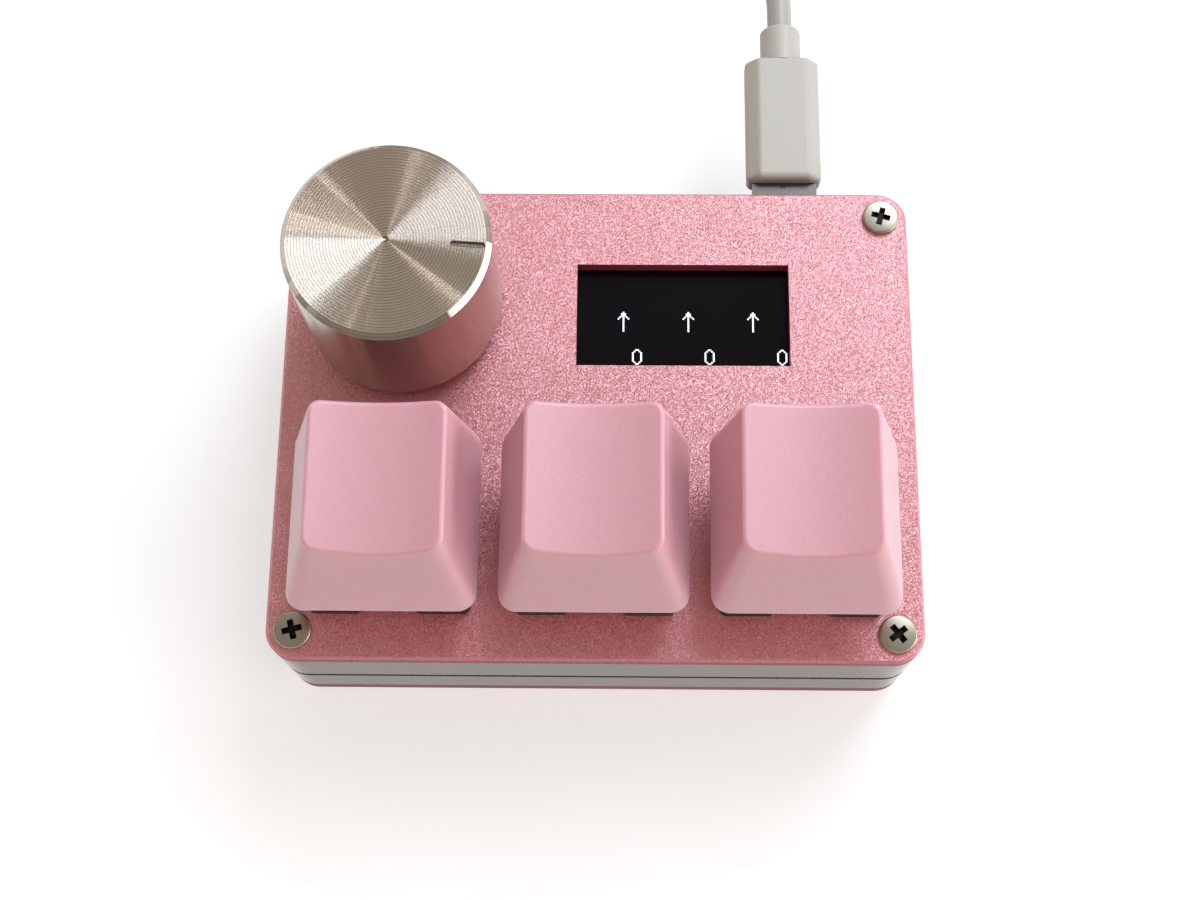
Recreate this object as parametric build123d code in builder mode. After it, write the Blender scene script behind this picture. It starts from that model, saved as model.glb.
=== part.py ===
from build123d import *
from math import cos, pi, radians, sin
import os

# Macro keypad: three sprung keys, one push-and-turn knob and a small display on a case of stacked plates,
# with its USB lead plugged in. Millimetres. +X runs along the row of keys, +Y towards the lead, +Z up.
# The origin is under the middle of the case, on the surface that the rubber feet stand on.

# ---------------------------------------------------------------- driving dimensions

# Case: outline, and its layers from the bottom up
CASE_W = 64.0
CASE_D = 49.6
CASE_R = 3.0
FOOT_D = 8.0
FOOT_H = 1.5
FOOT_X = 22.0
FOOT_Y = 15.5
FOOT_CHAMFER = 0.4
BOTTOM_PLATE_T = 2.0
BASE_FRAME_T = 2.2
LOWER_FRAME_T = 2.9
GASKET_T = 0.9
UPPER_FRAME_T = 6.5
TOP_PLATE_T = 1.5
EDGE_BREAK = 0.25

# Frames: wall, and the boss round each screw
FRAME_WALL = 2.8
FRAME_INNER_R = 1.0
BOSS_R = 3.3

# Screws: M2, with standoffs between the plates
SCREW_X = 29.3
SCREW_Y = 22.0
SCREW_HOLE_D = 2.2
SCREW_HEAD_D = 3.7
SCREW_HEAD_H = 0.65
SCREW_HEAD_CHAMFER = 0.2
SCREW_SHANK_D = 1.9
SCREW_SHANK_L = 5.0
RECESS_ACROSS = 2.0
RECESS_W = 0.5
RECESS_DEPTH = 0.45
STANDOFF_D = 3.2
STANDOFF_BORE_D = 2.0
STANDOFF_HOLE_D = 3.4

# Keys
KEY_PITCH = 20.0
KEY_Y = -12.35
PLATE_TO_BOARD = 5.0
SWITCH_CUTOUT = 14.0
SKIRT_ABOVE_PLATE = 6.2
KEYCAP_W = 18.0
KEYCAP_R = 1.8
KEYCAP_H = 8.3
KEYCAP_TOP_W = 12.8
KEYCAP_TOP_D = 14.05
KEYCAP_TOP_R = 1.3
KEYCAP_TOP_SHIFT = 2.15
KEYCAP_TILT = 2.0
KEYCAP_DISH = 0.9
KEYCAP_EDGE_R = 0.4
KEYCAP_WALL = 1.35
KEYCAP_CEILING = 5.9
KEYCAP_POST_D = 5.5
STEM_CROSS = 4.0
STEM_CROSS_T = 1.2
SPRING_D = 4.4
SPRING_WIRE = 0.3
SPRING_TURNS = 7

# Knob and encoder
KNOB_X = -19.75
KNOB_Y = 12.0
KNOB_D = 20.0
KNOB_GAP = 1.2
KNOB_TOP_ABOVE_PLATE = 16.5
KNOB_CHAMFER = 0.5
KNOB_CAVITY_R = 8.7
KNOB_CAVITY_H = 6.3
KNOB_CROWN_T = 1.5
KNOB_DIMPLE_R = 0.35
KNOB_DIMPLE_H = 0.15
POINTER_ANGLE = -4.0
POINTER_INNER_R = 6.1
POINTER_OUTER_R = 9.45
POINTER_W = 0.62
POINTER_DEPTH = 0.3
INSERT_D = 9.0
ENCODER_W = 12.0
ENCODER_D = 11.7
ENCODER_H = 6.5
ENCODER_BASE_H = 4.0
BUSHING_D = 7.0
BUSHING_H = 5.0
SHAFT_D = 6.0
SHAFT_L = 12.5
SHAFT_FLAT = 4.5
SHAFT_TAIL_D = 4.0
SHAFT_TAIL_FLAT = 3.2
ROTOR_D = 9.4
RUNNING_FIT = 0.05
ENCODER_HOLE_W = 13.6
ENCODER_HOLE_D = 12.6

# Display
WINDOW_X = 8.73
WINDOW_Y = 11.12
WINDOW_W = 21.8
WINDOW_D = 11.1
PANEL_W = 26.7
PANEL_D = 19.3
PANEL_T = 1.4
PANEL_SHIFT = -2.2
PANEL_GAP = 0.1
FLEX_W = 12.0
FLEX_T = 0.15

# Circuit board
BOARD_T = 1.6
BOARD_CLEARANCE = 0.4
BOARD_NOTCH_R = 3.7

# Plug in the port
PORT_X = 19.7
PORT_LENGTH = 5.7
PORT_SETBACK = 0.1
PORT_W = 6.95
PORT_H = 1.9
PORT_WALL = 0.3
PORT_GAP_W = 9.0
PLUG_W = 6.85
PLUG_H = 1.8
PLUG_WALL = 0.25
PLUG_IN = 4.6
OVERMOLD_W = 7.95
OVERMOLD_T = 4.6
OVERMOLD_L = 14.4
OVERMOLD_BEVEL = 1.3
OVERMOLD_CREASE_R = 0.8
OVERMOLD_NOSE_R = 0.7
OVERMOLD_TAIL_R = 0.3
OVERMOLD_GAP = 2.65
RELIEF_D = 4.4
RELIEF_L = 4.25
RELIEF_EDGE_R = 0.4

# Cable: 1.0 m in all, most of it wound up behind the case
CABLE_D = 2.7
COIL_X = -17.0
COIL_Y = 88.0
COIL_R = 16.2
COIL_ROWS = 3
COIL_COLUMNS = 3
COIL_EDGE = 1.3
TIE_T = 0.4
TIE_ARC = 12.0
TIE_TURNS = [150, 330]

# Far-end plug, lying on the surface beside the coil
USB_A_W = 12.0
USB_A_T = 4.5
USB_A_L = 12.2
USB_A_WALL = 0.3
USB_A_MOLD_W = 15.2
USB_A_MOLD_T = 7.6
USB_A_MOLD_L = 22.0
USB_A_RELIEF_L = 6.0
USB_A_MOLD_R = 1.4
USB_A_FROM_COIL = 15.0
USB_A_SHELL_R = 0.5
USB_A_WINDOW_W = 2.2
USB_A_WINDOW_D = 2.5
USB_A_WINDOW_X = 7.0
USB_A_WINDOW_PITCH = 5.0
USB_A_TONGUE_T = 1.9
USB_A_TONGUE_GAP = 0.3
USB_A_TONGUE_SETBACK = 0.4

# ---------------------------------------------------------------- levels and places worked out from them

Z_BASE_FRAME = FOOT_H + BOTTOM_PLATE_T
Z_LOWER_FRAME = Z_BASE_FRAME + BASE_FRAME_T
Z_GASKET = Z_LOWER_FRAME + LOWER_FRAME_T
Z_UPPER_FRAME = Z_GASKET + GASKET_T
Z_TOP_PLATE = Z_UPPER_FRAME + UPPER_FRAME_T
Z_TOP = Z_TOP_PLATE + TOP_PLATE_T
Z_BOARD_TOP = Z_TOP - PLATE_TO_BOARD
Z_BOARD = Z_BOARD_TOP - BOARD_T
Z_SKIRT = Z_TOP + SKIRT_ABOVE_PLATE
Z_KNOB = Z_TOP + KNOB_GAP
Z_KNOB_TOP = Z_TOP + KNOB_TOP_ABOVE_PLATE
Z_ENCODER_TOP = Z_BOARD_TOP + ENCODER_H
Z_PORT = Z_BOARD_TOP + PORT_H / 2 + PORT_WALL
Y_BACK = CASE_D / 2
Y_OVERMOLD = Y_BACK + OVERMOLD_GAP
Y_RELIEF = Y_OVERMOLD + OVERMOLD_L
Y_CABLE = Y_RELIEF + RELIEF_L
KEY_XS = [-KEY_PITCH, 0.0, KEY_PITCH]
SCREW_XY = [(-SCREW_X, -SCREW_Y), (SCREW_X, -SCREW_Y), (SCREW_X, SCREW_Y), (-SCREW_X, SCREW_Y)]
SCREW_TURNS = [15, 38, -15, 60]
SWITCH_PINS = [(-3.81, 2.54), (2.54, 5.08)]
KNOB_AXIS = Axis((KNOB_X, KNOB_Y, 0), (0, 0, 1))

os.makedirs("parts", exist_ok=True)

# ---------------------------------------------------------------- case


def case_outline():
    RectangleRounded(CASE_W, CASE_D, CASE_R)


with BuildPart() as top_plate:
    with BuildSketch(Plane.XY.offset(Z_TOP_PLATE)):
        case_outline()
        with Locations(*SCREW_XY):
            Circle(SCREW_HOLE_D / 2, mode=Mode.SUBTRACT)
        with Locations(*[(x, KEY_Y) for x in KEY_XS]):
            Rectangle(SWITCH_CUTOUT, SWITCH_CUTOUT, mode=Mode.SUBTRACT)
        with Locations((WINDOW_X, WINDOW_Y)):
            Rectangle(WINDOW_W, WINDOW_D, mode=Mode.SUBTRACT)
        with Locations((KNOB_X, KNOB_Y)):
            Rectangle(ENCODER_HOLE_W, ENCODER_HOLE_D, mode=Mode.SUBTRACT)
    extrude(amount=TOP_PLATE_T)
    chamfer(top_plate.faces().sort_by(Axis.Z)[-1].outer_wire().edges(), EDGE_BREAK)
top_plate.part.label = "top_plate"
export_step(top_plate.part, "parts/top_plate.step")


def frame_outline():
    """A ring the size of the case, with a boss and a standoff hole at each corner."""
    case_outline()
    RectangleRounded(
        CASE_W - 2 * FRAME_WALL, CASE_D - 2 * FRAME_WALL, FRAME_INNER_R, mode=Mode.SUBTRACT
    )
    with Locations(*SCREW_XY):
        Circle(BOSS_R)
    RectangleRounded(CASE_W, CASE_D, CASE_R, mode=Mode.INTERSECT)
    with Locations(*SCREW_XY):
        Circle(STANDOFF_HOLE_D / 2, mode=Mode.SUBTRACT)


def make_frame(name, z, thickness, gap_w=0.0):
    with BuildPart() as frame:
        with BuildSketch(Plane.XY.offset(z)):
            frame_outline()
            if gap_w:
                with Locations((PORT_X, Y_BACK - FRAME_WALL / 2)):
                    Rectangle(gap_w, FRAME_WALL * 2, mode=Mode.SUBTRACT)
        extrude(amount=thickness)
    frame.part.label = name
    export_step(frame.part, f"parts/{name}.step")


make_frame("base_frame", Z_BASE_FRAME, BASE_FRAME_T)
make_frame("lower_frame", Z_LOWER_FRAME, LOWER_FRAME_T)
make_frame("mid_gasket", Z_GASKET, GASKET_T)
make_frame("upper_frame", Z_UPPER_FRAME, UPPER_FRAME_T, gap_w=PORT_GAP_W)

with BuildPart() as bottom_plate:
    with BuildSketch(Plane.XY.offset(FOOT_H)):
        case_outline()
        with Locations(*SCREW_XY):
            Circle(SCREW_HOLE_D / 2, mode=Mode.SUBTRACT)
    extrude(amount=BOTTOM_PLATE_T)
    chamfer(bottom_plate.faces().sort_by(Axis.Z)[0].outer_wire().edges(), EDGE_BREAK)
bottom_plate.part.label = "bottom_plate"
export_step(bottom_plate.part, "parts/bottom_plate.step")

with BuildPart() as rubber_feet:
    with BuildSketch(Plane.XY):
        with GridLocations(2 * FOOT_X, 2 * FOOT_Y, 2, 2):
            Circle(FOOT_D / 2)
    extrude(amount=FOOT_H)
    chamfer(rubber_feet.edges().group_by(Axis.Z)[0], FOOT_CHAMFER)
rubber_feet.part.label = "rubber_feet"
export_step(rubber_feet.part, "parts/rubber_feet.step")

with BuildPart() as standoffs:
    with BuildSketch(Plane.XY.offset(Z_BASE_FRAME)):
        with Locations(*SCREW_XY):
            Circle(STANDOFF_D / 2)
            Circle(STANDOFF_BORE_D / 2, mode=Mode.SUBTRACT)
    extrude(amount=Z_TOP_PLATE - Z_BASE_FRAME)
standoffs.part.label = "standoffs"
export_step(standoffs.part, "parts/standoffs.step")


def make_screws(name, z_seat, up):
    """Four pan-head screws seated at z_seat, with their heads on the side that up (1 or -1) points to."""
    with BuildPart() as screws:
        with BuildSketch(Plane.XY.offset(z_seat)):
            with Locations(*SCREW_XY):
                Circle(SCREW_HEAD_D / 2)
        extrude(amount=up * SCREW_HEAD_H)
        rims = screws.edges().group_by(Axis.Z)[-1 if up > 0 else 0]
        chamfer(rims, SCREW_HEAD_CHAMFER)
        with BuildSketch(Plane.XY.offset(z_seat)):
            with Locations(*SCREW_XY):
                Circle(SCREW_SHANK_D / 2)
        extrude(amount=-up * SCREW_SHANK_L)
        for place, turn in zip(SCREW_XY, SCREW_TURNS):
            with BuildSketch(Plane.XY.offset(z_seat + up * SCREW_HEAD_H)):
                with Locations(place):
                    Rectangle(RECESS_ACROSS, RECESS_W, rotation=turn)
                    Rectangle(RECESS_W, RECESS_ACROSS, rotation=turn)
            extrude(amount=-up * RECESS_DEPTH, mode=Mode.SUBTRACT)
    screws.part.label = name
    export_step(screws.part, f"parts/{name}.step")


make_screws("top_screws", Z_TOP, 1)
make_screws("bottom_screws", FOOT_H, -1)

# ---------------------------------------------------------------- circuit board

BOARD_W = CASE_W - 2 * (FRAME_WALL + BOARD_CLEARANCE)
BOARD_D = CASE_D - 2 * (FRAME_WALL + BOARD_CLEARANCE)
SWITCH_PEG_D = 3.9
PEG_HOLE_D = 4.1
PIN_HOLE_D = 1.6
ENCODER_PIN_XY = [(-2.5, -7.5), (0, -7.5), (2.5, -7.5), (-2.5, 7.0), (2.5, 7.0)]
ENCODER_PIN_HOLE_D = 1.1
ENCODER_LUG_T = 0.4
ENCODER_LUG_W = 2.0
LUG_SLOT_W = 0.7
LUG_SLOT_D = 2.4

with BuildPart() as circuit_board:
    with BuildSketch(Plane.XY.offset(Z_BOARD)):
        RectangleRounded(BOARD_W, BOARD_D, FRAME_INNER_R)
        with Locations(*SCREW_XY):
            Circle(BOARD_NOTCH_R, mode=Mode.SUBTRACT)
        for x in KEY_XS:
            with Locations((x, KEY_Y)):
                Circle(PEG_HOLE_D / 2, mode=Mode.SUBTRACT)
            with Locations(*[(x + px, KEY_Y + py) for px, py in SWITCH_PINS]):
                Circle(PIN_HOLE_D / 2, mode=Mode.SUBTRACT)
        with Locations(*[(KNOB_X + px, KNOB_Y + py) for px, py in ENCODER_PIN_XY]):
            Circle(ENCODER_PIN_HOLE_D / 2, mode=Mode.SUBTRACT)
        for side in (-1, 1):
            with Locations((KNOB_X + side * (ENCODER_W + ENCODER_LUG_T) / 2, KNOB_Y)):
                Rectangle(LUG_SLOT_W, LUG_SLOT_D, mode=Mode.SUBTRACT)
    extrude(amount=BOARD_T)
circuit_board.part.label = "circuit_board"
export_step(circuit_board.part, "parts/circuit_board.step")

CHIP_XY = (2.0, 12.0)
CHIP_W = 7.0
CHIP_T = 1.4
CHIP_CHAMFER = 0.25
CHIP_LEADS = 8
CHIP_LEAD_PITCH = 0.8
CHIP_LEAD_W = 0.35
CHIP_LEAD_REACH = 9.0
CHIP_LEAD_T = 0.2

with BuildPart() as controller_chip:
    with BuildSketch(Plane.XY.offset(Z_BOARD)):
        with Locations(CHIP_XY):
            Rectangle(CHIP_W, CHIP_W)
    extrude(amount=-CHIP_T)
    chamfer(controller_chip.edges().group_by(Axis.Z)[0], CHIP_CHAMFER)
    with BuildSketch(Plane.XY.offset(Z_BOARD)):
        with Locations(CHIP_XY):
            with GridLocations(CHIP_LEAD_PITCH, 0, CHIP_LEADS, 1):
                Rectangle(CHIP_LEAD_W, CHIP_LEAD_REACH)
            with GridLocations(0, CHIP_LEAD_PITCH, 1, CHIP_LEADS):
                Rectangle(CHIP_LEAD_REACH, CHIP_LEAD_W)
    extrude(amount=-CHIP_LEAD_T)
controller_chip.part.label = "controller_chip"
export_step(controller_chip.part, "parts/controller_chip.step")

CRYSTAL_XY = (10.5, 12.0)
CRYSTAL_W = 3.2
CRYSTAL_D = 2.5
CRYSTAL_T = 0.8

with BuildPart() as crystal:
    with BuildSketch(Plane.XY.offset(Z_BOARD)):
        with Locations(CRYSTAL_XY):
            Rectangle(CRYSTAL_W, CRYSTAL_D)
    extrude(amount=-CRYSTAL_T)
crystal.part.label = "crystal"
export_step(crystal.part, "parts/crystal.step")

# Resistors in a row either side of the chip, and the regulator by the port
RESISTOR_L = 1.6
RESISTOR_W = 0.8
RESISTOR_PITCH = 2.6
RESISTOR_ROW_Y = 7.5
REGULATOR_XY = (19.7, 13.0)
REGULATOR_W = 2.9
COMPONENT_T = 0.6

with BuildPart() as small_components:
    with BuildSketch(Plane.XY.offset(Z_BOARD)):
        with Locations((CHIP_XY[0], CHIP_XY[1] - RESISTOR_ROW_Y)):
            with GridLocations(RESISTOR_PITCH, 0, 5, 1):
                Rectangle(RESISTOR_W, RESISTOR_L)
        with Locations((CHIP_XY[0], CHIP_XY[1] + RESISTOR_ROW_Y)):
            with GridLocations(RESISTOR_PITCH, 0, 4, 1):
                Rectangle(RESISTOR_L, RESISTOR_W)
        with Locations(REGULATOR_XY):
            Rectangle(REGULATOR_W, RESISTOR_L)
    extrude(amount=-COMPONENT_T)
small_components.part.label = "small_components"
export_step(small_components.part, "parts/small_components.step")

# Six side-facing lamps under the front edge of the board, two to a key, that shine into the clear frames
LAMP_W = 1.9
LAMP_D = 1.1
LAMP_T = 0.8
LAMP_X = 4.7
LAMP_SETBACK = 0.3

with BuildPart() as edge_lamps:
    with BuildSketch(Plane.XY.offset(Z_BOARD)):
        with Locations(*[(x, (LAMP_D - BOARD_D) / 2 + LAMP_SETBACK) for x in KEY_XS]):
            with GridLocations(2 * LAMP_X, 0, 2, 1):
                Rectangle(LAMP_W, LAMP_D)
    extrude(amount=-LAMP_T)
edge_lamps.part.label = "edge_lamps"
export_step(edge_lamps.part, "parts/edge_lamps.step")

# ---------------------------------------------------------------- USB port and the plug in it


MOUTH_CUT = 0.14
MOUTH_DROP = 0.55


def micro_outline(width, height):
    """The D shape of a Micro-B mouth: square above, with its two lower corners cut off."""
    cut = MOUTH_CUT * width
    drop = MOUTH_DROP * height
    Polygon(
        (-width / 2, height / 2),
        (width / 2, height / 2),
        (width / 2, drop - height / 2),
        (width / 2 - cut, -height / 2),
        (cut - width / 2, -height / 2),
        (-width / 2, drop - height / 2),
        align=None,
    )


def lying_plane(x, y, z):
    """A plane whose normal points along +Y, with its own X along the row's -X and its own Y up."""
    return Plane((x, y, z), x_dir=(-1, 0, 0), z_dir=(0, 1, 0))


Y_PORT_BACK = Y_BACK - PORT_SETBACK
Y_PORT_FRONT = Y_PORT_BACK - PORT_LENGTH
PORT_BACK_WALL = 0.4
TONGUE_W = 3.6
TONGUE_T = 0.5
TONGUE_L = 3.6

with BuildPart() as usb_port_shell:
    with BuildSketch(lying_plane(PORT_X, Y_PORT_FRONT, Z_PORT)):
        micro_outline(PORT_W + 2 * PORT_WALL, PORT_H + 2 * PORT_WALL)
    extrude(amount=PORT_LENGTH)
    with BuildSketch(lying_plane(PORT_X, Y_PORT_FRONT + PORT_BACK_WALL, Z_PORT)):
        micro_outline(PORT_W, PORT_H)
    extrude(amount=PORT_LENGTH, mode=Mode.SUBTRACT)
usb_port_shell.part.label = "usb_port_shell"
export_step(usb_port_shell.part, "parts/usb_port_shell.step")

with BuildPart() as usb_port_tongue:
    with BuildSketch(lying_plane(PORT_X, Y_PORT_FRONT + PORT_BACK_WALL, Z_PORT)):
        Rectangle(TONGUE_W, TONGUE_T)
    extrude(amount=TONGUE_L)
usb_port_tongue.part.label = "usb_port_tongue"
export_step(usb_port_tongue.part, "parts/usb_port_tongue.step")

Y_PLUG_TIP = Y_PORT_BACK - PLUG_IN
PLUG_DEPTH = 4.2
SEAM_W = 0.12
SEAM_DEPTH = 0.1
SEAM_STEP = 0.4
SEAM_STEP_Y = 0.7

with BuildPart() as micro_plug_shell:
    with BuildSketch(lying_plane(PORT_X, Y_PLUG_TIP, Z_PORT)):
        micro_outline(PLUG_W, PLUG_H)
    extrude(amount=Y_OVERMOLD - Y_PLUG_TIP)
    with BuildSketch(lying_plane(PORT_X, Y_PLUG_TIP, Z_PORT)):
        micro_outline(PLUG_W - 2 * PLUG_WALL, PLUG_H - 2 * PLUG_WALL)
    extrude(amount=PLUG_DEPTH, mode=Mode.SUBTRACT)
    # The folded sheet meets itself in a dovetail seam along the middle of the upper side
    with BuildSketch(Plane.XY.offset(Z_PORT + PLUG_H / 2)):
        with BuildLine():
            Polyline(
                (PORT_X, Y_PLUG_TIP),
                (PORT_X, Y_BACK + SEAM_STEP_Y),
                (PORT_X - SEAM_STEP, Y_BACK + SEAM_STEP_Y / 2),
                (PORT_X - SEAM_STEP, Y_OVERMOLD - SEAM_STEP_Y / 2),
                (PORT_X, Y_OVERMOLD - SEAM_STEP_Y),
                (PORT_X, Y_OVERMOLD),
            )
        trace(line_width=SEAM_W)
    extrude(amount=-SEAM_DEPTH, mode=Mode.SUBTRACT)
micro_plug_shell.part.label = "micro_plug_shell"
export_step(micro_plug_shell.part, "parts/micro_plug_shell.step")

with BuildPart() as micro_plug_overmold:
    with BuildSketch(lying_plane(PORT_X, Y_OVERMOLD, Z_PORT)) as grip:
        Rectangle(OVERMOLD_W, OVERMOLD_T)
        chamfer(grip.vertices(), OVERMOLD_BEVEL)
        fillet(grip.vertices(), OVERMOLD_CREASE_R)
    extrude(amount=OVERMOLD_L)
    ends = micro_plug_overmold.faces().sort_by(Axis.Y)
    fillet(ends[0].edges(), OVERMOLD_NOSE_R)
    fillet(ends[-1].edges(), OVERMOLD_TAIL_R)
micro_plug_overmold.part.label = "micro_plug_overmold"
export_step(micro_plug_overmold.part, "parts/micro_plug_overmold.step")

with BuildPart() as micro_plug_relief:
    with BuildSketch(lying_plane(PORT_X, Y_RELIEF, Z_PORT)):
        Circle(RELIEF_D / 2)
    extrude(amount=RELIEF_L)
    fillet(micro_plug_relief.edges().group_by(Axis.Y)[-1], RELIEF_EDGE_R)
micro_plug_relief.part.label = "micro_plug_relief"
export_step(micro_plug_relief.part, "parts/micro_plug_relief.step")

# ---------------------------------------------------------------- display

PANEL_Y = WINDOW_Y + PANEL_SHIFT
Z_PANEL_TOP = Z_TOP_PLATE - PANEL_GAP
Z_PANEL = Z_PANEL_TOP - PANEL_T
PANEL_LEDGE = 4.0
PANEL_GLASS_T = 0.7
FOAM_MARGIN_X = 1.5
FOAM_MARGIN_Y = 1.0
FLEX_BOND = 1.5

with BuildPart() as display_panel:
    with BuildSketch(Plane.XY.offset(Z_PANEL)):
        with Locations((WINDOW_X, PANEL_Y)):
            Rectangle(PANEL_W, PANEL_D)
    extrude(amount=PANEL_GLASS_T)
    with BuildSketch(Plane.XY.offset(Z_PANEL + PANEL_GLASS_T)):
        with Locations((WINDOW_X, PANEL_Y + PANEL_LEDGE / 2)):
            Rectangle(PANEL_W, PANEL_D - PANEL_LEDGE)
    extrude(amount=PANEL_T - PANEL_GLASS_T)
display_panel.part.label = "display_panel"
export_step(display_panel.part, "parts/display_panel.step")

with BuildPart() as display_foam:
    with BuildSketch(Plane.XY.offset(Z_BOARD_TOP)):
        with Locations((WINDOW_X, PANEL_Y + PANEL_LEDGE / 2)):
            Rectangle(PANEL_W - 2 * FOAM_MARGIN_X, PANEL_D - PANEL_LEDGE - 2 * FOAM_MARGIN_Y)
    extrude(amount=Z_PANEL - Z_BOARD_TOP)
display_foam.part.label = "display_foam"
export_step(display_foam.part, "parts/display_foam.step")

Y_PANEL_FRONT = PANEL_Y - PANEL_D / 2
Z_LEDGE = Z_PANEL + PANEL_GLASS_T

with BuildPart() as display_flex:
    with BuildSketch(Plane((WINDOW_X - FLEX_W / 2, 0, 0), x_dir=(0, 1, 0), z_dir=(1, 0, 0))):
        with BuildLine() as flex_line:
            low = Z_BOARD_TOP + FLEX_T / 2
            high = Z_LEDGE + FLEX_T / 2
            Line((Y_PANEL_FRONT + FLEX_BOND, high), (Y_PANEL_FRONT, high))
            ThreePointArc(
                (Y_PANEL_FRONT, high),
                (Y_PANEL_FRONT - (high - low) / 2, (low + high) / 2),
                (Y_PANEL_FRONT, low),
            )
            Line((Y_PANEL_FRONT, low), (Y_PANEL_FRONT + FLEX_BOND, low))
        trace(line_width=FLEX_T)
    extrude(amount=FLEX_W)
display_flex.part.label = "display_flex"
export_step(display_flex.part, "parts/display_flex.step")

# ---------------------------------------------------------------- encoder and knob

ENCODER_WALL = 1.0
ENCODER_FLOOR_T = 0.4
ENCODER_BASE_R = 0.5
ENCODER_COVER_R = 0.8
BUSHING_CHAMFER = 0.4
SHAFT_CHAMFER = 0.3
LUG_BELOW_TOP = 0.6
Z_ENCODER_COVER = Z_BOARD_TOP + ENCODER_BASE_H
PIN_BELOW_BOARD = 0.8
PIN_W = 0.8
PIN_T = 0.3
PIN_RISE = 1.4
DOME_H = 0.25
DOME_R = 2.4
DOME_LIP = 0.05
SHAFT_TRAVEL = 0.5
Z_DOME = Z_BOARD_TOP + ENCODER_FLOOR_T
Z_SHAFT_FOOT = Z_DOME + DOME_H + SHAFT_TRAVEL + RUNNING_FIT
Z_ROTOR = Z_SHAFT_FOOT + 0.3
ROTOR_T = 1.6
Z_SHAFT_STEP = Z_ENCODER_COVER + 0.6
Z_SHAFT_TOP = Z_ENCODER_TOP + SHAFT_L
Z_CAVITY_TOP = Z_KNOB + KNOB_CAVITY_H
Z_INSERT_TOP = Z_KNOB_TOP - KNOB_CROWN_T
INSERT_LIP = 0.2
Z_INSERT = Z_CAVITY_TOP - INSERT_LIP
BORE_FIT = 0.01
BORE_END_GAP = 0.3
LUG_TOP = Z_ENCODER_TOP - LUG_BELOW_TOP

with BuildPart() as encoder_base:
    with BuildSketch(Plane.XY.offset(Z_BOARD_TOP)):
        with Locations((KNOB_X, KNOB_Y)):
            RectangleRounded(ENCODER_W, ENCODER_D, ENCODER_BASE_R)
    extrude(amount=ENCODER_BASE_H)
    with BuildSketch(Plane.XY.offset(Z_BOARD_TOP + ENCODER_FLOOR_T)):
        with Locations((KNOB_X, KNOB_Y)):
            Circle(ENCODER_D / 2 - ENCODER_WALL)
    extrude(amount=ENCODER_BASE_H, mode=Mode.SUBTRACT)
encoder_base.part.label = "encoder_base"
export_step(encoder_base.part, "parts/encoder_base.step")

with BuildPart() as encoder_cover:
    with BuildSketch(Plane.XY.offset(Z_ENCODER_COVER)):
        with Locations((KNOB_X, KNOB_Y)):
            RectangleRounded(ENCODER_W, ENCODER_D, ENCODER_COVER_R)
    extrude(amount=Z_ENCODER_TOP - Z_ENCODER_COVER)
    with BuildSketch(Plane.XY.offset(Z_ENCODER_TOP)):
        with Locations((KNOB_X, KNOB_Y)):
            Circle(BUSHING_D / 2)
    extrude(amount=BUSHING_H)
    chamfer(encoder_cover.edges().group_by(Axis.Z)[-1], BUSHING_CHAMFER)
    with BuildSketch(Plane.XY.offset(Z_ENCODER_COVER)):
        with Locations((KNOB_X, KNOB_Y)):
            Circle(SHAFT_D / 2 + RUNNING_FIT)
    extrude(amount=ENCODER_H + BUSHING_H, mode=Mode.SUBTRACT)
    for side in (-1, 1):
        with BuildSketch(Plane.XY.offset(LUG_TOP)):
            with Locations((KNOB_X + side * (ENCODER_W + ENCODER_LUG_T) / 2, KNOB_Y)):
                Rectangle(ENCODER_LUG_T, ENCODER_LUG_W)
        extrude(amount=Z_BOARD - PIN_BELOW_BOARD - LUG_TOP)
encoder_cover.part.label = "encoder_cover"
export_step(encoder_cover.part, "parts/encoder_cover.step")

with BuildPart() as encoder_pins:
    with BuildSketch(Plane.XY.offset(Z_BOARD - PIN_BELOW_BOARD)):
        with Locations(*[(KNOB_X + px, KNOB_Y + py) for px, py in ENCODER_PIN_XY]):
            Rectangle(PIN_W, PIN_T)
    extrude(amount=BOARD_T + PIN_BELOW_BOARD + PIN_RISE)
    for px, py in ENCODER_PIN_XY:
        inner = ENCODER_D / 2 if py > 0 else -ENCODER_D / 2
        with BuildSketch(Plane.XY.offset(Z_BOARD_TOP + PIN_RISE - PIN_T)):
            with Locations((KNOB_X + px, KNOB_Y + (py + inner) / 2)):
                Rectangle(PIN_W, abs(py - inner))
        extrude(amount=PIN_T)
encoder_pins.part.label = "encoder_pins"
export_step(encoder_pins.part, "parts/encoder_pins.step")

with BuildPart() as encoder_dome:
    with BuildSketch(Plane((KNOB_X, KNOB_Y, Z_DOME), x_dir=(1, 0, 0), z_dir=(0, -1, 0))):
        with BuildLine():
            Line((0, 0), (0, DOME_H))
            ThreePointArc((0, DOME_H), (DOME_R / 2, 4 * DOME_H / 5), (DOME_R, DOME_LIP))
            Polyline((DOME_R, DOME_LIP), (DOME_R, 0), (0, 0))
        make_face()
    revolve(axis=KNOB_AXIS)
encoder_dome.part.label = "encoder_dome"
export_step(encoder_dome.part, "parts/encoder_dome.step")

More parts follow.
